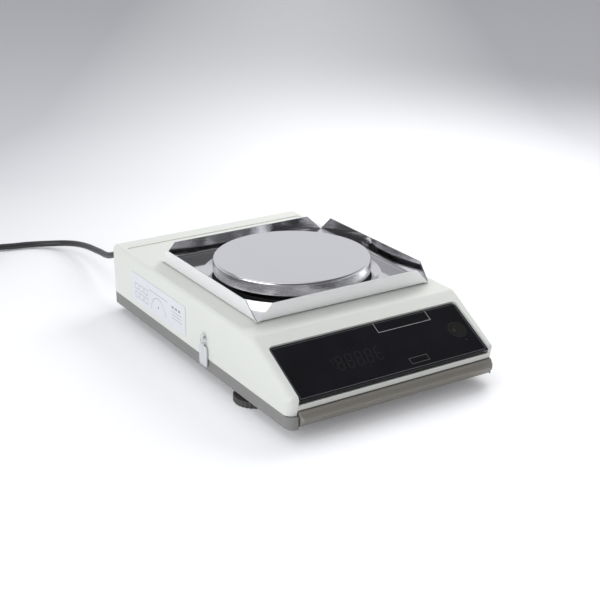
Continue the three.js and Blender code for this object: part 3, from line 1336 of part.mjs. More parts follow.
// The coil spirals in on the table, climbs a layer as it turns back, spirals out and runs to the plug.
class CoilCurve extends THREE.Curve {
  constructor() {
    super();
    this.turnAngle = Math.PI * 2 * coilLayerTurns;
    this.lead = cordRadius * 2;
    this.wound = Math.PI * (coilInnerRadius + coilOuterRadius) * coilLayerTurns;
    this.total = this.lead + this.wound * 2 + tailLength;
  }

  spiral(angle) {
    const turns = angle / (Math.PI * 2);
    const radius = angle <= this.turnAngle
      ? coilOuterRadius - turns * coilPitch
      : coilInnerRadius + (turns - coilLayerTurns) * coilPitch;
    const climb = THREE.MathUtils.smoothstep(angle, this.turnAngle - Math.PI / 2,
      this.turnAngle + Math.PI / 2);
    const z = THREE.MathUtils.lerp(coilLayerZ[0], coilLayerZ[1], climb);
    const heading = Math.PI / 2 + angle;
    return new THREE.Vector3(coilX + radius * Math.cos(heading), coilY + radius * Math.sin(heading), z);
  }

  getPoint(share) {
    const distance = share * this.total;
    if (distance <= this.lead) {
      const start = this.spiral(0);
      return start.add(new THREE.Vector3(this.lead - distance, 0, 0));
    }
    const along = distance - this.lead;
    if (along <= this.wound * 2) {
      const inward = along <= this.wound;
      const part = (inward ? along : this.wound * 2 - along) / this.wound;
      const span = (coilOuterRadius - coilInnerRadius) / coilOuterRadius;
      const eased = (1 - Math.sqrt(1 - part * (1 - (1 - span) ** 2))) / span;
      const angle = inward ? this.turnAngle * eased : this.turnAngle * (2 - eased);
      return this.spiral(angle);
    }
    const end = this.spiral(this.turnAngle * 2);
    const tail = along - this.wound * 2;
    const rise = THREE.MathUtils.smoothstep(tail, 0, tailLength - this.lead);
    return new THREE.Vector3(end.x - tail, end.y, THREE.MathUtils.lerp(coilLayerZ[1], plugAxis, rise));
  }
}
const coilCurve = new CoilCurve();
const tailTurns = tailLength / (Math.PI * 2 * coilInnerRadius);
const coilSteps = Math.round(coilStepsPerTurn * (coilLayerTurns * 2 + tailTurns));
coilCurve.arcLengthDivisions = coilSteps * 8;
const coilStart = coilCurve.getPoint(0);
cordRoute.push(
  new THREE.Vector3(coilStart.x + coilCurve.lead * 2.2, coilStart.y - gap * 3, coilStart.z),
  new THREE.Vector3(coilStart.x + coilCurve.lead, coilStart.y, coilStart.z),
  new THREE.Vector3(coilStart.x + gap, coilStart.y, coilStart.z),
);
const cordCurve = new THREE.CatmullRomCurve3(cordRoute, false, 'centripetal');
const cordSteps = Math.round(cordCurve.getLength() / cordStep);
addPart('mains_cord', tube(cordCurve, cordRadius, cordSides, cordSteps), 'blackPlastic');
addPart('cord_coil', tube(coilCurve, cordRadius, coilSides, coilSteps), 'blackPlastic');

// Least gap of the coil to itself, measured between points at least half a turn apart.
function leastCoilGap() {
  const points = coilCurve.getSpacedPoints(coilSteps * 3);
  const apart = Math.PI * coilInnerRadius;
  const step = coilCurve.getLength() / (coilSteps * 3);
  let least = Infinity;
  for (let i = 0; i < points.length; i += 1) {
    for (let j = i + Math.ceil(apart / step); j < points.length; j += 1) {
      least = Math.min(least, points[i].distanceTo(points[j]));
    }
  }
  return least - cordRadius * 2;
}
console.log(`least gap of the coil to itself ${leastCoilGap().toFixed(2)} mm`);
console.log(`cord length ${(cordCurve.getLength() + coilCurve.getLength()).toFixed(0)} mm`);

// The tie goes round both layers of the coil.
const tieInner = coilInnerRadius - coilPitch / 2 - gap;
const tieOuter = coilOuterRadius + coilPitch / 2 + gap;
const tieBottom = coilRaise - gap - tieThickness;
const tieTop = coilLayerZ[1] + cordRadius + gap + tieThickness;
const tieRing = without(
  solidOf(extruded(roundedRectangle(tieInner - tieThickness, tieOuter + tieThickness, tieBottom, tieTop,
    cordRadius), 'x', -tieWidth / 2, tieWidth / 2)),
  solidOf(extruded(roundedRectangle(tieInner, tieOuter, tieBottom + tieThickness, tieTop - tieThickness,
    cordRadius - tieThickness), 'x', -tieWidth, tieWidth)),
);
addPart('cord_tie', moved(geometryOf(tieRing).applyMatrix4(
  new THREE.Matrix4().makeRotationZ(tieAngle)), coilX, coilY, 0), 'blackPlastic');

// Plug: a round moulded body with two flats, lying with its axis level
const plugStart = coilCurve.getPoint(1).x - gap;
const plugFace = plugStart - plugLength;
const plugProfile = [
  [0, plugFace], [plugRadius, plugFace], [plugRadius, plugFace + plugLength * 0.45],
  [plugRadius * 0.8, plugFace + plugLength * 0.6], [plugNeckRadius * 1.4, plugFace + plugLength * 0.72],
  [plugNeckRadius, plugStart], [0, plugStart],
];
const plugY = coilCurve.getPoint(1).y;
const plugBody = without(
  solidOf(moved(turned(plugProfile, 'x', 32), 0, plugY, plugAxis)),
  ...[-1, 1].map((side) => blockSolid(plugFace - overrun, plugFace + plugLength / 2,
    plugY + (side > 0 ? plugFlat : -plugFlat - plugRadius),
    plugY + (side > 0 ? plugFlat + plugRadius : -plugFlat),
    0, plugAxis * 2)),
);
addPart('plug_body', geometryOf(plugBody), 'rubber');
['left', 'right'].forEach((side, i) => {
  const offset = (i ? 1 : -1) * pinSpacing / 2;
  addPart(`plug_pin_${side}`, moved(turned([
    [0, plugFace - gap - pinLength], [pinRadius * 0.6, plugFace - gap - pinLength],
    [pinRadius, plugFace - gap - pinLength + pinRadius], [pinRadius, plugFace - gap], [0, plugFace - gap],
  ], 'x', 12), 0, plugY, plugAxis + offset), 'brass');
});

export default balance;
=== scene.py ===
"""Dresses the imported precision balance: its finishes, its small visible parts, the cord and the studio."""

import json
import math

import bmesh
import bpy
from bpy.props import FloatProperty, FloatVectorProperty, IntProperty, PointerProperty
from bpy.types import Operator, Panel, PropertyGroup
from mathutils import Matrix, Vector


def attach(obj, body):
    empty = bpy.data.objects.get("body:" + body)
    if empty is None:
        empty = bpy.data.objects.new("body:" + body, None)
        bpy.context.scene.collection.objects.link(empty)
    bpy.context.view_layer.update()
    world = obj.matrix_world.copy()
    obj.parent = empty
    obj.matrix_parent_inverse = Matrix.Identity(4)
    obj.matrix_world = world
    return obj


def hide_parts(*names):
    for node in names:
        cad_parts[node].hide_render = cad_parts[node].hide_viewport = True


bl_info = {
    "name": "Precision balance",
    "version": (1, 0, 0),
    "blender": (4, 5, 0),
    "location": "3D View > Sidebar > Balance",
    "description": "Builds the looks of a precision balance round its packed solids",
    "category": "Object",
}

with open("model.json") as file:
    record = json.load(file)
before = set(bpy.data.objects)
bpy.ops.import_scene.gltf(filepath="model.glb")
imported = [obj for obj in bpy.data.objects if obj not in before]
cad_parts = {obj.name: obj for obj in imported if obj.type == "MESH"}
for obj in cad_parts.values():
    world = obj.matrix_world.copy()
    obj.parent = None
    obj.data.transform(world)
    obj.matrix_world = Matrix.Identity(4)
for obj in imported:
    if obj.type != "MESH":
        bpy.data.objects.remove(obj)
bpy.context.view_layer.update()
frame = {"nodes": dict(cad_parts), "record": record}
NODES = frame["nodes"]

MM = 0.001
FULL_TURN = 2 * math.pi

# Places on the front slope, across and down from the bend, and on the label, in millimetres
BEND_Y, BEND_Z = -99.4 * MM, 64.5 * MM
SLOPE = math.radians(28.0)
WINDOW_FIELD = (-89, 89, 12.5, 65.1)
BEVEL_HIGHLIGHT_INSET = 1.5 * MM
FRAME_BOX = (7, 58, 12.0, 23.2)
SMALL_BOX = (17, 34, 54.0, 59.5)
LEVEL_AT, LEVEL_RADIUS = (74.7, 39.0), 7.8
BUBBLE_AT = (71.6, 39.1)
LAMP_DOT_AT = (76.5, 50.6)
DIGITS_AT = (-47.6, 34.7)
DIGIT_SIZES = (6.4, 13.9, 1.2, 9.0)
DIGIT_LEAN = 0.12
DIGIT_FIELD = (-46.6, -2.4, 34.7, 48.6)
LABEL_CORNER = (113.3, 24.6)
LABEL_BLOCKS = [
    (6 + 9 * column, 13 + 9 * column, 5 + 8 * row, 10 + 8 * row)
    for column in range(3)
    for row in range(2)
]
LABEL_MARKS = [
    *((78 + 6 * i, 82 + 6 * i, 18, 20) for i in range(3)),
    *((78, 96, low, low + 0.5) for low in (9, 12, 15)),
    (34, 70, 20.2, 20.7),
]
LABEL_ARC_AT, LABEL_ARC_RADIUS = (52, 3), 14
LABEL_DOT = (52, 9), 1.2

# The draft shield's foot height, half width and the lean of its walls, and the pan's top
SHIELD_FOOT = 68.2 * MM
SHIELD_HALF = 83.2 * MM
WALL_LEAN = 0.12
PAN_TOP = 81.9 * MM


# Properties: what a user would change


def length(name, text, default, low=0.0):
    return FloatProperty(
        name=name, description=text, default=default, min=low, subtype="DISTANCE", unit="LENGTH"
    )


def colour(name, text, default):
    return FloatVectorProperty(
        name=name, description=text, default=default, min=0.0, max=1.0, size=3, subtype="COLOR"
    )


class BALANCE_PG_sizes(PropertyGroup):
    """Sizes of the pieces that are made here."""

    edge_round: length("Edge round", "Width of the small round on moulded edges", 0.35 * MM)
    sheet_round: length("Sheet round", "Width of the small round on sheet metal edges", 0.2 * MM)
    cord_radius: length("Cord radius", "Half the thickness of the mains cord", 3.1 * MM)
    coil_inner: length("Coil inner radius", "Radius of the coil's tightest turn", 25.5 * MM)
    coil_pitch: length("Coil pitch", "Distance from one turn of the coil to the next", 6.8 * MM)
    coil_turns: IntProperty(
        name="Coil turns", description="Turns in each layer of the coil", default=3, min=1
    )
    tail: length("Tail", "Straight cord between the coil and the plug", 62 * MM)


class BALANCE_PG_colours(PropertyGroup):
    """Base colours of the finishes, as linear values."""

    cover: colour("Cover", "Moulded upper cover", (0.690, 0.705, 0.660))
    base: colour("Base", "Painted base casting", (0.215, 0.212, 0.205))
    bar: colour("Bar", "Control bar", (0.235, 0.220, 0.192))
    window: colour("Window", "Smoked display window", (0.006, 0.006, 0.008))
    steel: colour("Steel", "Polished stainless sheet", (0.780, 0.775, 0.790))
    print_ink: colour("Print", "Pale printed lines", (0.30, 0.30, 0.30))
    label: colour("Label", "Side label film", (0.70, 0.71, 0.74))
    black: colour("Black plastic", "Collar ring and small black parts", (0.012, 0.012, 0.013))
    cord: colour("Cord", "Cord sheath and boot", (0.030, 0.030, 0.032))
    tag: colour("Tag", "Milky plastic seal tag", (0.84, 0.86, 0.88))
    wheel: colour("Wheel", "Levelling wheel", (0.055, 0.053, 0.048))


class BALANCE_PG_stage(PropertyGroup):
    """Camera, floor and lamps."""

    eye: FloatVectorProperty(
        name="Eye",
        description="Where the camera stands",
        default=(-0.53714, -0.87419, 0.44951),
        size=3,
        subtype="TRANSLATION",
        unit="LENGTH",
    )
    yaw: FloatProperty(
        name="Yaw", description="Turn of the camera to the right", default=math.radians(31.953),
        subtype="ANGLE",
    )
    pitch: FloatProperty(
        name="Pitch", description="Tilt of the camera", default=math.radians(-21.711), subtype="ANGLE"
    )
    lens: FloatProperty(name="Lens", description="Focal length in millimetres", default=76.83, min=1.0)
    floor_size: length("Floor", "Half the width of the floor", 9.0)
    floor: colour("Floor", "Floor and background", (0.93, 0.93, 0.94))
    # Painted shade: the floor's colour towards the far corners and the back
    far_floor: colour("Far floor", "Floor towards the far corners", (0.50, 0.50, 0.52))


# Small tools


def deselect_all():
    if bpy.context.object is not None and bpy.context.object.mode != "OBJECT":
        bpy.ops.object.mode_set(mode="OBJECT")
    bpy.ops.object.select_all(action="DESELECT")


def make_active(piece):
    deselect_all()
    piece.select_set(True)
    bpy.context.view_layer.objects.active = piece


def apply_modifier(piece, kind, name, **settings):
    make_active(piece)
    modifier = piece.modifiers.new(name, kind)
    for key, value in settings.items():
        setattr(modifier, key, value)
    bpy.ops.object.modifier_apply(modifier=modifier.name)


def settle(piece):
    """Puts the piece's place into its mesh."""
    make_active(piece)
    bpy.ops.object.transform_apply(location=True, rotation=True, scale=True)


def dressed_copy(node, material, body, edge=0.0, segments=2, smooth=32.0, weld=0.004 * MM):
    """A merged and finely rounded copy of a solid, which then stands for it."""
    source = NODES[node]
    piece = bpy.data.objects.new(node + "_dressed", source.data.copy())
    bpy.context.scene.collection.objects.link(piece)
    make_active(piece)
    bpy.ops.object.mode_set(mode="EDIT")
    bpy.ops.mesh.select_all(action="SELECT")
    bpy.ops.mesh.remove_doubles(threshold=weld)
    bpy.ops.mesh.dissolve_limited(angle_limit=math.radians(0.4))
    bpy.ops.object.mode_set(mode="OBJECT")
    if edge > 0:
        apply_modifier(
            piece, "BEVEL", "edges", width=edge, segments=segments, limit_method="ANGLE",
            angle_limit=math.radians(smooth), use_clamp_overlap=True, harden_normals=False,
        )
    make_active(piece)
    bpy.ops.object.shade_smooth_by_angle(angle=math.radians(smooth))
    apply_modifier(piece, "WEIGHTED_NORMAL", "flats", mode="FACE_AREA", weight=60, keep_sharp=True)
    paint(piece, material)
    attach(piece, body)
    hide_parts(node)
    return piece


def paint(piece, material):
    piece.data.materials.clear()
    piece.data.materials.append(material)


def sizes():
    return bpy.context.scene.balance_sizes


def colours():
    return bpy.context.scene.balance_colours


# Shader groups


def new_group(name, inputs, outputs):
    group = bpy.data.node_groups.new(name, "ShaderNodeTree")
    for socket, kind, default in inputs:
        made = group.interface.new_socket(socket, in_out="INPUT", socket_type=kind)
        if default is not None:
            made.default_value = default
    for socket, kind in outputs:
        group.interface.new_socket(socket, in_out="OUTPUT", socket_type=kind)
    return group


class Graph:
    """Adds nodes to a tree and links them by socket."""

    def __init__(self, tree):
        self.tree = tree

    def node(self, kind, values=None, **settings):
        made = self.tree.nodes.new(kind)
        for key, value in settings.items():
            setattr(made, key, value)
        for key, value in (values or {}).items():
            if isinstance(value, bpy.types.NodeSocket):
                self.tree.links.new(value, made.inputs[key])
            else:
                made.inputs[key].default_value = value
        return made

    def link(self, start, end):
        self.tree.links.new(start, end)

    def math(self, operation, a, b=0.0, c=0.0, clamp=False):
        return self.node(
            "ShaderNodeMath", {0: a, 1: b, 2: c}, operation=operation, use_clamp=clamp
        ).outputs[0]

    def mix(self, factor, a, b, kind="RGBA"):
        made = self.node("ShaderNodeMix", data_type=kind)
        for key, value in (("Factor", factor), ("A", a), ("B", b)):
            socket = next(s for s in made.inputs if s.name == key and s.enabled)
            if isinstance(value, bpy.types.NodeSocket):
                self.link(value, socket)
            else:
                socket.default_value = value
        return next(s for s in made.outputs if s.enabled)

    def object_place(self, scale=(1, 1, 1), turn=(0, 0, 0)):
        place = self.node("ShaderNodeTexCoord").outputs["Object"]
        return self.node("ShaderNodeMapping", {"Vector": place, "Scale": scale, "Rotation": turn}).outputs[0]

    def noise(self, place, scale, detail=2.0, roughness=0.5):
        return self.node(
            "ShaderNodeTexNoise",
            {"Vector": place, "Scale": scale, "Detail": detail, "Roughness": roughness},
        ).outputs["Fac"]

    def ramp(self, value, low, high):
        return self.node(
            "ShaderNodeMapRange",
            {"Value": value, "From Min": low, "From Max": high, "To Min": 0.0, "To Max": 1.0},
            clamp=True,
        ).outputs["Result"]


def surface_group():
    """Mottled colour, uneven gloss and a fine height for moulded and painted surfaces."""
    name = "Moulded surface"
    if name in bpy.data.node_groups:
        return bpy.data.node_groups[name]
    group = new_group(
        name,
        [
            ("Colour", "NodeSocketColor", (0.5, 0.5, 0.5, 1)),
            ("Dirt", "NodeSocketColor", (0.3, 0.3, 0.28, 1)),
            ("Mottle", "NodeSocketFloat", 0.06),
            ("Dirt Amount", "NodeSocketFloat", 0.15),
            ("Roughness", "NodeSocketFloat", 0.45),
            ("Roughness Spread", "NodeSocketFloat", 0.08),
            ("Grain Scale", "NodeSocketFloat", 2500.0),
        ],
        [("Colour", "NodeSocketColor"), ("Roughness", "NodeSocketFloat"), ("Height", "NodeSocketFloat")],
    )
    g = Graph(group)
    given = g.node("NodeGroupInput").outputs
    out = g.node("NodeGroupOutput")
    place = g.object_place()
    cloud = g.noise(place, 14.0, 4.0, 0.6)
    patch = g.noise(place, 55.0, 5.0, 0.65)
    grain = g.node(
        "ShaderNodeTexNoise", {"Vector": place, "Scale": given["Grain Scale"], "Detail": 1.0}
    ).outputs["Fac"]
    shade = g.math("MULTIPLY_ADD", g.math("SUBTRACT", cloud, 0.5), given["Mottle"], 1.0)
    tone = g.node("ShaderNodeCombineXYZ", {"X": shade, "Y": shade, "Z": shade}).outputs[0]
    tinted = g.node("ShaderNodeVectorMath", {0: given["Colour"], 1: tone}, operation="MULTIPLY")
    dirty = g.math("MULTIPLY", g.ramp(patch, 0.58, 0.80), given["Dirt Amount"])
    g.link(g.mix(dirty, tinted.outputs[0], given["Dirt"]), out.inputs["Colour"])
    uneven = g.math("SUBTRACT", patch, 0.5)
    g.link(
        g.math("MULTIPLY_ADD", uneven, given["Roughness Spread"], given["Roughness"], clamp=True),
        out.inputs["Roughness"],
    )
    g.link(grain, out.inputs["Height"])
    return group


def metal_group():
    """Fine handling marks and faint smears for polished sheet."""
    name = "Handled metal"
    if name in bpy.data.node_groups:
        return bpy.data.node_groups[name]
    group = new_group(
        name,
        [
            ("Roughness", "NodeSocketFloat", 0.1),
            ("Smear", "NodeSocketFloat", 0.08),
            ("Scratch", "NodeSocketFloat", 0.05),
            ("Scratch Scale", "NodeSocketFloat", 900.0),
        ],
        [("Roughness", "NodeSocketFloat"), ("Height", "NodeSocketFloat")],
    )
    g = Graph(group)
    given = g.node("NodeGroupInput").outputs
    out = g.node("NodeGroupOutput")
    place = g.object_place()
    smear = g.ramp(g.noise(place, 22.0, 5.0, 0.7), 0.45, 0.8)
    lines = g.node("ShaderNodeMapping", {"Vector": place, "Scale": (1.0, 0.02, 1.0)}).outputs[0]
    scratch = g.node(
        "ShaderNodeTexNoise", {"Vector": lines, "Scale": given["Scratch Scale"], "Detail": 2.0}
    ).outputs["Fac"]
    marks = g.math("MULTIPLY", g.ramp(scratch, 0.6, 0.75), given["Scratch"])
    rough = g.math("MULTIPLY_ADD", smear, given["Smear"], given["Roughness"])
    g.link(g.math("ADD", rough, marks, clamp=True), out.inputs["Roughness"])
    g.link(scratch, out.inputs["Height"])
    return group


def handled(g, roughness, smear, scratch):
    """The roughness and the height of handled metal."""
    values = {"Roughness": roughness, "Smear": smear, "Scratch": scratch}
    return g.node("ShaderNodeGroup", values, node_tree=metal_group()).outputs


def new_material(name):
    material = bpy.data.materials.new(name)
    material.use_nodes = True
    tree = material.node_tree
    return material, Graph(tree), tree.nodes["Principled BSDF"]


def made_once(name):
    """Turns a function that dresses a new material into one that gives the finished material."""
    def wrap(dress):
        def finished():
            if name not in bpy.data.materials:
                _, g, shader = new_material(name)
                dress(g, shader)
            return bpy.data.materials[name]
        return finished
    return wrap


def toned(value, share=1.0):
    """A colour with its alpha, made darker or paler by a share."""
    return (*(share * v for v in value), 1.0)


def add_bump(g, shader, height, strength, distance=0.00005):
    bumped = g.node("ShaderNodeBump", {"Strength": strength, "Distance": distance, "Height": height})
    g.link(bumped.outputs["Normal"], shader.inputs["Normal"])


def box_distance(g, a, b, limits):
    """How far a place lies inside a box given as low and high limits of both coordinates."""
    low_a, high_a, low_b, high_b = (limit * MM for limit in limits)
    sides = [
        g.math("SUBTRACT", a, low_a), g.math("SUBTRACT", high_a, a),
        g.math("SUBTRACT", b, low_b), g.math("SUBTRACT", high_b, b),
    ]
    return g.math("MINIMUM", g.math("MINIMUM", *sides[:2]), g.math("MINIMUM", *sides[2:]))


def disc_distance(g, a, b, centre, radius):
    """How far a place lies inside a circle."""
    across = g.math("POWER", g.math("SUBTRACT", a, centre[0] * MM), 2.0)
    along = g.math("POWER", g.math("SUBTRACT", b, centre[1] * MM), 2.0)
    return g.math("SUBTRACT", radius * MM, g.math("SQRT", g.math("ADD", across, along)))


def filled(g, distance, soft=0.1):
    return g.ramp(distance, -soft * MM, soft * MM)


def drawn(g, distance, width=0.5, soft=0.12):
    """A line of the given width along the edge where the distance is zero."""
    off = g.math("ABSOLUTE", distance)
    return g.ramp(off, (width / 2 + soft) * MM, (width / 2 - soft) * MM)


def any_of(g, masks):
    whole = masks[0]
    for mask in masks[1:]:
        whole = g.math("MAXIMUM", whole, mask)
    return whole


def slope_place(g):
    """Across the balance and down its front slope from the bend, in metres."""
    axes = g.node("ShaderNodeSeparateXYZ", {"Vector": g.object_place()}).outputs
    back = g.math("MULTIPLY", g.math("SUBTRACT", BEND_Y, axes["Y"]), math.cos(SLOPE))
    down = g.math("MULTIPLY_ADD", g.math("SUBTRACT", BEND_Z, axes["Z"]), math.sin(SLOPE), back)
    return axes["X"], down


def digit_masks(g, across, down):
    """The unlit bars of a row of slanted seven-bar digits."""
    wide, high, thick, pitch = DIGIT_SIZES
    leaning = g.math("MULTIPLY_ADD", down, DIGIT_LEAN, across)
    cell = g.math("WRAP", g.math("SUBTRACT", leaning, DIGITS_AT[0] * MM), pitch * MM, 0.0)
    level = g.math("SUBTRACT", down, DIGITS_AT[1] * MM)
    half = high / 2
    rows = (thick / 2, half, high - thick / 2)
    bars = [(thick, wide - thick, row - thick / 2, row + thick / 2) for row in rows]
    for low in (thick, half + thick / 2):
        for side in (0, wide - thick):
            bars.append((side, side + thick, low, low + half - thick * 1.5))
    shape = any_of(g, [filled(g, box_distance(g, cell, level, bar)) for bar in bars])
    return g.math("MULTIPLY", shape, filled(g, box_distance(g, across, down, DIGIT_FIELD)))


@made_once("window_plastic")
def smoked_window(g, shader):
    """Dark smoked plastic with a printed frame line, the unlit digits, the round level behind it and a
    painted highlight line along the bevel.
    """
    c = colours()
    across, down = slope_place(g)
    cloud = g.noise(g.object_place(), 30.0, 4.0, 0.6)
    base = g.mix(g.ramp(cloud, 0.4, 0.8), toned(c.window), toned(c.window, 1.6))
    field = box_distance(g, across, down, WINDOW_FIELD)
    layers = [
        (g.math("MULTIPLY", digit_masks(g, across, down), 0.4), (0.03, 0.03, 0.032)),
        # Painted highlight: a pale line just inside the window's edge stands for light caught on its bevel
        (g.math("MULTIPLY", drawn(g, g.math("SUBTRACT", field, BEVEL_HIGHLIGHT_INSET), 0.5), 0.9), (0.12, 0.12, 0.13)),
        (filled(g, disc_distance(g, across, down, LEVEL_AT, LEVEL_RADIUS)), (0.013, 0.014, 0.012)),
        (drawn(g, disc_distance(g, across, down, LEVEL_AT, LEVEL_RADIUS), 0.5), (0.024, 0.024, 0.024)),
        (drawn(g, disc_distance(g, across, down, LEVEL_AT, LEVEL_RADIUS / 2.4), 0.35), (0.024, 0.024, 0.02)),
        (filled(g, disc_distance(g, across, down, BUBBLE_AT, 1.6), 0.4), (0.028, 0.03, 0.022)),
        (filled(g, disc_distance(g, across, down, LAMP_DOT_AT, 0.5), 0.2), (0.06, 0.06, 0.06)),
    ]
    frame_line = drawn(g, box_distance(g, across, down, FRAME_BOX), 0.55)
    below = g.ramp(down, (FRAME_BOX[2] + 0.6) * MM, (FRAME_BOX[2] + 0.8) * MM)
    small_line = drawn(g, box_distance(g, across, down, SMALL_BOX), 0.4)
    layers += [
        (g.math("MULTIPLY", frame_line, below), tuple(c.print_ink)),
        (g.math("MULTIPLY", small_line, 0.35), tuple(c.print_ink)),
    ]
    for mask, value in layers:
        base = g.mix(mask, base, toned(value))
    g.link(base, shader.inputs["Base Color"])
    smear = g.ramp(g.noise(g.object_place(), 18.0, 5.0, 0.7), 0.35, 0.8)
    g.link(g.math("MULTIPLY_ADD", smear, 0.10, 0.09), shader.inputs["Roughness"])
    shader.inputs["Specular IOR Level"].default_value = 0.5


@made_once("label_film")
def printed_label(g, shader):
    """Satin film with a faint line drawing and no lettering."""
    axes = g.node("ShaderNodeSeparateXYZ", {"Vector": g.object_place()}).outputs
    along = g.math("SUBTRACT", LABEL_CORNER[0] * MM, axes["Y"])
    up = g.math("SUBTRACT", axes["Z"], LABEL_CORNER[1] * MM)
    arc = drawn(g, disc_distance(g, along, up, LABEL_ARC_AT, LABEL_ARC_RADIUS), 0.5)
    lines = [drawn(g, box_distance(g, along, up, block), 0.45) for block in LABEL_BLOCKS]
    lines += [filled(g, box_distance(g, along, up, mark)) for mark in LABEL_MARKS]
    lines += [
        g.math("MULTIPLY", arc, g.ramp(up, 4.5 * MM, 5 * MM)),
        filled(g, disc_distance(g, along, up, *LABEL_DOT)),
    ]
    c = colours()
    ink = g.math("MULTIPLY", any_of(g, lines), 0.8)
    worn = g.ramp(g.noise(g.object_place(), 45.0, 5.0, 0.7), 0.35, 0.75)
    film = g.mix(g.math("MULTIPLY", worn, 0.25), toned(c.label), toned(c.label, 0.8))
    g.link(g.mix(ink, film, (0.16, 0.16, 0.18, 1)), shader.inputs["Base Color"])
    g.link(g.math("MULTIPLY_ADD", worn, 0.2, 0.3), shader.inputs["Roughness"])


@made_once("tag_plastic")
def milky_plastic(g, shader):
    """Clear plastic clouded by age, with a faint ribbed relief."""
    place = g.object_place()
    cloud = g.ramp(g.noise(place, 120.0, 4.0, 0.6), 0.3, 0.75)
    value = colours().tag
    g.link(g.mix(cloud, toned(value), toned(value, 0.75)), shader.inputs["Base Color"])
    g.link(g.math("MULTIPLY_ADD", cloud, 0.2, 0.6), shader.inputs["Alpha"])
    shader.inputs["Roughness"].default_value = 0.22
    ribs = g.node("ShaderNodeTexNoise", {"Vector": place, "Scale": 300.0, "Detail": 2.0}).outputs["Fac"]
    add_bump(g, shader, ribs, 0.6, 0.0004)


@made_once("shield_sheet")
def shield_sheet(g, shader):
    """Polished inside, with painted shade making the walls above the fold darker than the floor plate, and
    brushed along the outer faces of the folded walls.
    """
    place = g.object_place()
    axes = g.node("ShaderNodeSeparateXYZ", {"Vector": place}).outputs
    reach = g.math("MAXIMUM", g.math("ABSOLUTE", axes["X"]), g.math("ABSOLUTE", axes["Y"]))
    lean = g.math("MULTIPLY", g.math("SUBTRACT", axes["Z"], SHIELD_FOOT), WALL_LEAN)
    outer = g.ramp(g.math("SUBTRACT", reach, lean), SHIELD_HALF - 0.7 * MM, SHIELD_HALF - 0.4 * MM)
    made = handled(g, 0.06, 0.08, 0.05)
    fine = g.node("ShaderNodeMapping", {"Vector": place, "Scale": (1.0, 1.0, 0.03)}).outputs[0]
    grain = g.noise(fine, 1800.0, 2.0)
    brushed = g.math("MULTIPLY_ADD", grain, 0.16, 0.30)
    g.link(g.mix(outer, made["Roughness"], brushed, "FLOAT"), shader.inputs["Roughness"])
    steel = colours().steel
    # Painted shade: above the fold the inner walls get darker steel than the floor plate
    wall_shade = g.ramp(axes["Z"], SHIELD_FOOT + 1.5 * MM, SHIELD_FOOT + 3 * MM)
    inner = g.mix(wall_shade, toned(steel), toned(steel, 0.78))
    g.link(g.mix(outer, inner, (0.88, 0.88, 0.88, 1)), shader.inputs["Base Color"])
    g.link(g.math("MULTIPLY_ADD", outer, -0.45, 1.0), shader.inputs["Metallic"])
    add_bump(g, shader, made["Height"], 0.02)


@made_once("pan_sheet")
def pan_sheet(g, shader):
    """Satin on top and turned round the skirt."""
    place = g.object_place()
    up = g.node("ShaderNodeSeparateXYZ", {"Vector": place}).outputs["Z"]
    turned = g.node("ShaderNodeMapping", {"Vector": place, "Scale": (0.02, 0.02, 1.0)}).outputs[0]
    lines = g.noise(turned, 2600.0, 3.0)
    skirt = g.ramp(up, PAN_TOP - 0.6 * MM, PAN_TOP - 1.6 * MM)
    made = handled(g, 0.16, 0.06, 0.04)
    rough = g.math("MULTIPLY_ADD", g.math("MULTIPLY", lines, skirt), 0.22, made["Roughness"])
    g.link(rough, shader.inputs["Roughness"])
    g.link(g.mix(skirt, toned(colours().steel), (0.92, 0.92, 0.93, 1)), shader.inputs["Base Color"])
    shader.inputs["Metallic"].default_value = 1.0
    add_bump(g, shader, made["Height"], 0.03)


def moulded(name, value, roughness=0.45, mottle=0.06, dirt=0.1, bump=0.05, grain=2500.0, metallic=0.0):
    if name in bpy.data.materials:
        return bpy.data.materials[name]
    material, g, shader = new_material(name)
    made = g.node("ShaderNodeGroup", {
        "Colour": toned(value), "Dirt": toned(value, 0.55), "Mottle": mottle,
        "Dirt Amount": dirt, "Roughness": roughness, "Grain Scale": grain,
    }, node_tree=surface_group())
    g.link(made.outputs["Colour"], shader.inputs["Base Color"])
    g.link(made.outputs["Roughness"], shader.inputs["Roughness"])
    add_bump(g, shader, made.outputs["Height"], bump, 0.0001)
    shader.inputs["Metallic"].default_value = metallic
    return material


def polished(name, value, roughness=0.08, smear=0.08, scratch=0.05, bump=0.01):
    if name in bpy.data.materials:
        return bpy.data.materials[name]
    material, g, shader = new_material(name)
    shader.inputs["Base Color"].default_value = toned(value)
    shader.inputs["Metallic"].default_value = 1.0
    made = handled(g, roughness, smear, scratch)
    g.link(made["Roughness"], shader.inputs["Roughness"])
    add_bump(g, shader, made["Height"], bump)
    return material


# The studio


# The dark side of the room lies behind the camera and a little to its left
DARK_SIDE_TURN = 0.2

# Name, place, target, size, power, colour and whether mirrors show it
LAMPS = [
    ("top_lamp", (-0.2, 0.7, 2.2), (0.0, 0.0, 0.0), 2.0, 13.0, (1.0, 1.0, 1.0), True),
    ("left_lamp", (-2.1, -0.3, 0.8), (0.0, 0.0, 0.05), 1.8, 28.5, (0.96, 0.975, 1.0), True),
    ("right_lamp", (0.66, 0.25, 0.60), (0.0, 0.0, 0.05), 0.6, 5.6, (1.0, 1.0, 1.0), False),
]


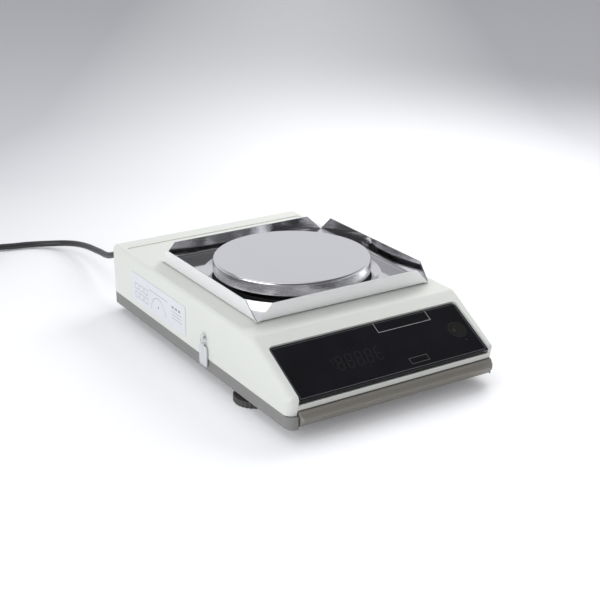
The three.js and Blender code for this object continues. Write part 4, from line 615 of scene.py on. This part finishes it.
class BALANCE_OT_stage(Operator):
    """Adds the camera, the floor, the lamps and the pale surroundings."""

    bl_idname = "balance.stage"
    bl_label = "Stage"

    def execute(self, context):
        stage = context.scene.balance_stage
        data = bpy.data.cameras.new("camera")
        data.lens = stage.lens
        data.sensor_width = 36.0
        data.clip_start = 0.01
        data.clip_end = 100.0
        camera = bpy.data.objects.new("camera", data)
        camera.location = stage.eye
        camera.rotation_euler = (math.pi / 2 + stage.pitch, 0.0, -stage.yaw)
        context.scene.collection.objects.link(camera)
        context.scene.camera = camera
        context.scene.view_settings.view_transform = "Standard"

        self.floor(stage)
        for lamp in LAMPS:
            self.lamp(context, *lamp)
        self.surroundings(context)
        return {"FINISHED"}

    @staticmethod
    def floor(stage):
        """A pale floor that keeps the shadow, with painted shade darkening it a little towards the back and
        the far corners.
        """
        deselect_all()
        bpy.ops.mesh.primitive_plane_add(size=stage.floor_size * 2, location=(0, 0, 0))
        floor = bpy.context.object
        floor.name = "floor"
        settle(floor)
        material, g, shader = new_material("floor_paint")
        place = g.object_place(turn=(0, 0, stage.yaw))
        axes = g.node("ShaderNodeSeparateXYZ", {"Vector": place}).outputs
        sideways = g.math("POWER", g.math("ABSOLUTE", axes["X"]), 1.6)
        # Painted shade: the floor's colour, and its glow for the camera, darken towards the far corners and
        # the back
        corner = g.math("MULTIPLY", sideways, g.ramp(axes["Y"], -0.1, 0.8))
        depth = g.math("MULTIPLY", g.ramp(axes["Y"], -0.3, 0.5), 0.45)
        painted_falloff = g.math("ADD", g.math("MULTIPLY", corner, 2.6), depth)
        tint = g.mix(g.math("MINIMUM", painted_falloff, 1.0), toned(stage.floor), toned(stage.far_floor))
        g.link(tint, shader.inputs["Base Color"])
        shader.inputs["Roughness"].default_value = 0.6
        shader.inputs["Specular IOR Level"].default_value = 0.2
        rays = g.node("ShaderNodeLightPath").outputs
        mirrored = g.math("MAXIMUM", rays["Is Glossy Ray"], rays["Is Transmission Ray"])
        seen = g.math("MAXIMUM", rays["Is Camera Ray"], mirrored)
        g.link(tint, shader.inputs["Emission Color"])
        g.link(g.math("MULTIPLY", seen, 0.14), shader.inputs["Emission Strength"])
        paint(floor, material)

    @staticmethod
    def lamp(context, name, place, target, size, power, tint, mirrored):
        data = bpy.data.lights.new(name, "AREA")
        data.shape = "SQUARE"
        data.size = size
        data.energy = power
        data.color = tint
        lamp = bpy.data.objects.new(name, data)
        lamp.location = place
        lamp.visible_glossy = mirrored
        lamp.rotation_euler = (Vector(target) - Vector(place)).to_track_quat("-Z", "Y").to_euler()
        context.scene.collection.objects.link(lamp)

    @staticmethod
    def surroundings(context):
        """Even light all round, and for mirrors a bright wall with a dark side and a dark ceiling."""
        world = bpy.data.worlds.new("surroundings")
        context.scene.world = world
        world.use_nodes = True
        g = Graph(world.node_tree)
        shine = world.node_tree.nodes["Background"]
        shine.inputs["Color"].default_value = (0.95, 0.96, 1.0, 1)
        rays = g.node("ShaderNodeLightPath").outputs
        seen = g.math("MAXIMUM", rays["Is Glossy Ray"], rays["Is Transmission Ray"])
        turned = g.node("ShaderNodeMapping", {
            "Vector": g.node("ShaderNodeTexCoord").outputs["Generated"],
            "Rotation": (0, 0, bpy.context.scene.balance_stage.yaw + DARK_SIDE_TURN),
        })
        axes = g.node("ShaderNodeSeparateXYZ", {"Vector": turned.outputs[0]}).outputs
        high = g.ramp(axes["Z"], 0.42, 0.74)
        behind = g.ramp(axes["Y"], 0.30, -0.30)
        wall = g.math("MULTIPLY_ADD", g.math("MAXIMUM", high, behind), -0.66, 0.76)
        even = g.math("MULTIPLY_ADD", rays["Is Camera Ray"], 0.49, 0.48)
        unseen = g.math("SUBTRACT", 1.0, seen)
        strength = g.math("MULTIPLY_ADD", unseen, even, g.math("MULTIPLY", seen, wall))
        g.link(strength, shine.inputs["Strength"])


# The cord

FREE_ROUTE = [
    (-70, 186.6, 36), (-70.2, 193, 35.9), (-70.7, 203, 34.4), (-71.4, 214, 30.9), (-71.2, 226, 26.6),
    (-69.6, 240, 23.2), (-67.6, 255, 20.6), (-66.2, 270, 18), (-65.4, 288, 15.4), (-65.8, 306, 12.6),
    (-68.4, 322, 9.9), (-74, 336, 7.4), (-82.5, 347, 5.4), (-93, 355.6, 4.3), (-106, 361.5, 4),
    (-120, 365, 4), (-134.8, 370, 4.1), (-150, 378.5, 4.2), (-164, 388.5, 4.3), (-179, 397.8, 4.4),
]
COIL_CENTRE = (-206 * MM, 357 * MM)
COIL_RAISE = 1.3 * MM
PLUG_AXIS = 18.7 * MM


def smooth_step(value, low, high):
    share = min(max((value - low) / (high - low), 0.0), 1.0)
    return share * share * (3 - 2 * share)


def flowing_line(points, step):
    """Points at a steady step on a centripetal curve through the given points."""
    line = []
    padded = [points[0] * 2 - points[1], *points, points[-1] * 2 - points[-2]]
    for a, b, c, d in zip(padded, padded[1:], padded[2:], padded[3:]):
        knots = [0.0]
        for start, end in ((a, b), (b, c), (c, d)):
            knots.append(knots[-1] + math.sqrt((end - start).length))
        count = max(2, round((c - b).length / step))
        for k in range(count):
            t = knots[1] + (knots[2] - knots[1]) * k / count
            line.append(centripetal(t, knots, (a, b, c, d)))
    line.append(points[-1])
    return line


def centripetal(t, knots, points):
    level = list(points)
    for reach in (1, 2):
        level = [
            level[i] * ((knots[i + reach] - t) / (knots[i + reach] - knots[i]))
            + level[i + 1] * ((t - knots[i]) / (knots[i + reach] - knots[i]))
            for i in range(len(level) - 1)
        ]
    return level[0] * ((knots[2] - t) / (knots[2] - knots[1])) + level[1] * (
        (t - knots[1]) / (knots[2] - knots[1])
    )


def coil_line(given):
    """The coil spirals in on the table, climbs a layer, spirals out and runs to the plug."""
    radius_out = given.coil_inner + given.coil_turns * given.coil_pitch
    low = given.cord_radius + COIL_RAISE
    high = low + given.coil_pitch
    turn = FULL_TURN * given.coil_turns
    line = []
    steps = 36 * given.coil_turns
    for k in range(2 * steps + 1):
        angle = turn * k / steps
        turns = angle / FULL_TURN
        if angle <= turn:
            radius = radius_out - turns * given.coil_pitch
        else:
            radius = given.coil_inner + (turns - given.coil_turns) * given.coil_pitch
        climb = smooth_step(angle, turn - math.pi / 2, turn + math.pi / 2)
        heading = math.pi / 2 + angle
        line.append(
            Vector((
                COIL_CENTRE[0] + radius * math.cos(heading),
                COIL_CENTRE[1] + radius * math.sin(heading),
                low + (high - low) * climb,
            ))
        )
    lead = 2 * given.cord_radius
    start, end = line[0], line[-1]
    tail = [
        Vector((end.x - given.tail * k / 12, end.y,
                high + (PLUG_AXIS - high) * smooth_step(given.tail * k / 12, 0, given.tail - lead)))
        for k in range(1, 13)
    ]
    return [start + Vector((lead, 0, 0)), *line, *tail]


class BALANCE_OT_cord(Operator):
    """Lays the mains cord from the strain relief to its coil and plug."""

    bl_idname = "balance.cord"
    bl_label = "Mains cord"

    def execute(self, context):
        given = sizes()
        coil = coil_line(given)
        route = [Vector(point) * MM for point in FREE_ROUTE]
        lead = coil[0]
        route.append(lead + Vector((1.2 * 2 * given.cord_radius, -0.9 * MM, 0)))
        free = flowing_line([*route, lead], 4 * MM)
        line = [*free, *coil[1:]]
        data = bpy.data.curves.new("mains_lead", "CURVE")
        data.dimensions = "3D"
        data.bevel_depth = given.cord_radius
        data.bevel_resolution = 5
        data.use_fill_caps = True
        spline = data.splines.new("POLY")
        spline.points.add(len(line) - 1)
        for point, place in zip(spline.points, line):
            point.co = (*place, 1.0)
        spline.use_smooth = True
        piece = bpy.data.objects.new("mains_lead", data)
        context.scene.collection.objects.link(piece)
        sheath = moulded("cord_sheath", colours().cord, 0.42, 0.1, 0.25, 0.05, 900.0)
        piece.data.materials.append(sheath)
        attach(piece, "housing")
        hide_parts("mains_cord", "cord_coil")
        boot = dressed_copy("strain_relief", sheath, "housing", 0.25 * MM)
        plug = dressed_copy("plug_body", sheath, "housing", 0.5 * MM)
        tie = dressed_copy("cord_tie", sheath, "housing", 0.15 * MM)
        brass = polished("plug_brass", (0.60, 0.47, 0.26), 0.22, 0.15, 0.1)
        pins = [
            dressed_copy(f"plug_pin_{side}", brass, "housing", 0.2 * MM)
            for side in ("left", "right")
        ]
        return {"FINISHED"}


# The housing


class BALANCE_OT_housing(Operator):
    """Finishes the cover, the base, the control bar and the window."""

    bl_idname = "balance.housing"
    bl_label = "Housing"

    def execute(self, context):
        edge = sizes().edge_round
        for node, body, slot in (
            ("upper_cover", "housing", "cover"), ("base_casting", "housing", "base"),
            ("control_bar", "control_bar", "bar"), ("display_window", "housing", "window"),
        ):
            dressed_copy(node, slot_material(slot), body, edge)
        return {"FINISHED"}


class BALANCE_OT_load_side(Operator):
    """Finishes the pan, its carrier, the collar ring and the draft shield."""

    bl_idname = "balance.load_side"
    bl_label = "Pan and shield"

    def execute(self, context):
        for node, body, slot, edge in (
            ("weighing_pan", "pan", "bright_steel", 0.15 * MM),
            ("draft_shield", "shield", "bright_steel", sizes().sheet_round),
            ("collar_ring", "housing", "black_plastic", 0.2 * MM),
            ("pan_carrier", "load_train", "machined", 0.2 * MM),
        ):
            finishes = {"draft_shield": shield_sheet, "weighing_pan": pan_sheet}
            finish = finishes[node]() if node in finishes else slot_material(slot)
            dressed_copy(node, finish, body, edge)
        return {"FINISHED"}


PLAIN_NODES = [
    ("levelling_wheel_left", "wheel_left", "wheel"),
    ("levelling_wheel_right", "wheel_right", "wheel"),
    ("levelling_stud_left", "stud_left", "screws"),
    ("levelling_stud_right", "stud_right", "screws"),
    ("rear_foot_left", "housing", "rubber"),
    ("rear_foot_right", "housing", "rubber"),
    ("port_cover", "port_cover", "spring_steel"),
    ("port_screw", "housing", "screws"),
    ("cover_screw_front_left", "housing", "screws"),
    ("cover_screw_rear_left", "housing", "screws"),
    ("cover_screw_front_right", "housing", "screws"),
    ("cover_screw_rear_right", "housing", "screws"),
    ("side_label", "housing", "label"),
    ("seal_screw", "housing", "bright_steel"),
    ("seal_wire", "housing", "spring_steel"),
    ("seal_tag", "seal_tag", "tag"),
    ("fuse_holder", "housing", "black_plastic"),
    ("fuse_cap", "fuse_cap", "black_plastic"),
    ("voltage_selector", "housing", "black_plastic"),
    ("selector_slider", "selector_slider", "bar"),
    ("option_cover", "housing", "cover"),
]


def slot_material(slot):
    """The finish that a material slot of the record gets."""
    c = colours()
    return {
        "cover": lambda: moulded("cover_plastic", c.cover, 0.42, 0.04, 0.06, 0.05, 2600.0),
        "base": lambda: moulded("base_paint", c.base, 0.5, 0.08, 0.15, 0.08, 1500.0),
        "bar": lambda: moulded("bar_plastic", c.bar, 0.5, 0.06, 0.12, 0.06, 2200.0),
        "window": smoked_window,
        "bright_steel": lambda: polished("mirror_sheet", c.steel, 0.07, 0.06, 0.04),
        "black_plastic": lambda: moulded("black_plastic", c.black, 0.35, 0.1, 0.1, 0.03),
        "cast": lambda: moulded("cast_metal", (0.42, 0.43, 0.44), 0.45, 0.15, 0.1, 0.2, 800.0, 0.8),
        "machined": lambda: polished("machined_metal", (0.62, 0.62, 0.63), 0.3, 0.1, 0.1, 0.04),
        "winding": lambda: moulded("copper_wire", (0.40, 0.15, 0.06), 0.35, 0.2, 0.1, 0.3, 500.0, 0.8),
        "iron": lambda: moulded("plated_iron", (0.20, 0.20, 0.22), 0.35, 0.1, 0.1, 0.1, 900.0, 0.8),
        "laminations": lambda: moulded("sheet_stack", (0.22, 0.22, 0.24), 0.45, 0.15, 0.2, 0.2, 900.0, 0.6),
        "circuit_board": lambda: moulded("solder_mask", (0.03, 0.14, 0.06), 0.35, 0.1, 0.1, 0.05),
        "rubber": lambda: moulded("foot_rubber", (0.02, 0.02, 0.02), 0.75, 0.15, 0.3, 0.15, 900.0),
        "brass": lambda: polished("plug_brass", (0.60, 0.47, 0.26), 0.22, 0.15, 0.1),
        "label": printed_label,
        "tag": milky_plastic,
        "level_fluid": lambda: moulded("level_fluid", (0.40, 0.55, 0.08), 0.1, 0.05, 0.0, 0.0),
        "wheel": lambda: moulded("wheel_plastic", c.wheel, 0.5, 0.1, 0.2, 0.1, 1200.0),
        "screws": lambda: polished("plated_screw", (0.55, 0.55, 0.56), 0.3, 0.2, 0.1, 0.05),
        "spring_steel": lambda: polished("spring_sheet", (0.50, 0.51, 0.54), 0.25, 0.15, 0.15, 0.03),
        "cord": lambda: moulded("cord_sheath", c.cord, 0.42, 0.1, 0.25, 0.05, 900.0),
    }[slot]()


class BALANCE_OT_small_parts(Operator):
    """Finishes the feet, screws, label, seal and rear panel parts."""

    bl_idname = "balance.small_parts"
    bl_label = "Small parts"

    def execute(self, context):
        for node, body, slot in PLAIN_NODES:
            dressed_copy(node, slot_material(slot), body, 0.15 * MM)
        return {"FINISHED"}


class BALANCE_OT_inner_parts(Operator):
    """Gives the parts inside the housing their finishes."""

    bl_idname = "balance.inner_parts"
    bl_label = "Inner parts"

    def execute(self, context):
        slots = {row["node"]: row["material_slot"] for row in frame["record"]["subparts"]}
        for name, node in NODES.items():
            if not node.hide_render:
                paint(node, slot_material(slots[name]))
        return {"FINISHED"}


class BALANCE_PT_panel(Panel):
    """Lists the steps in the sidebar."""

    bl_label = "Precision balance"
    bl_idname = "BALANCE_PT_panel"
    bl_space_type = "VIEW_3D"
    bl_region_type = "UI"
    bl_category = "Balance"

    def draw(self, context):
        for step in STEPS:
            self.layout.operator(step.bl_idname)


STEPS = [
    BALANCE_OT_stage,
    BALANCE_OT_cord,
    BALANCE_OT_housing,
    BALANCE_OT_load_side,
    BALANCE_OT_small_parts,
    BALANCE_OT_inner_parts,
]
GROUPS = [
    (BALANCE_PG_sizes, "balance_sizes"),
    (BALANCE_PG_colours, "balance_colours"),
    (BALANCE_PG_stage, "balance_stage"),
]


def register():
    for group, name in GROUPS:
        bpy.utils.register_class(group)
        setattr(bpy.types.Scene, name, PointerProperty(type=group))
    for made in (*STEPS, BALANCE_PT_panel):
        bpy.utils.register_class(made)


def unregister():
    for made in (BALANCE_PT_panel, *reversed(STEPS)):
        bpy.utils.unregister_class(made)
    for group, name in reversed(GROUPS):
        delattr(bpy.types.Scene, name)
        bpy.utils.unregister_class(group)


def main():
    register()
    for step in STEPS:
        family, name = step.bl_idname.split(".")
        getattr(getattr(bpy.ops, family), name)()


if __name__ == "__main__":
    main()
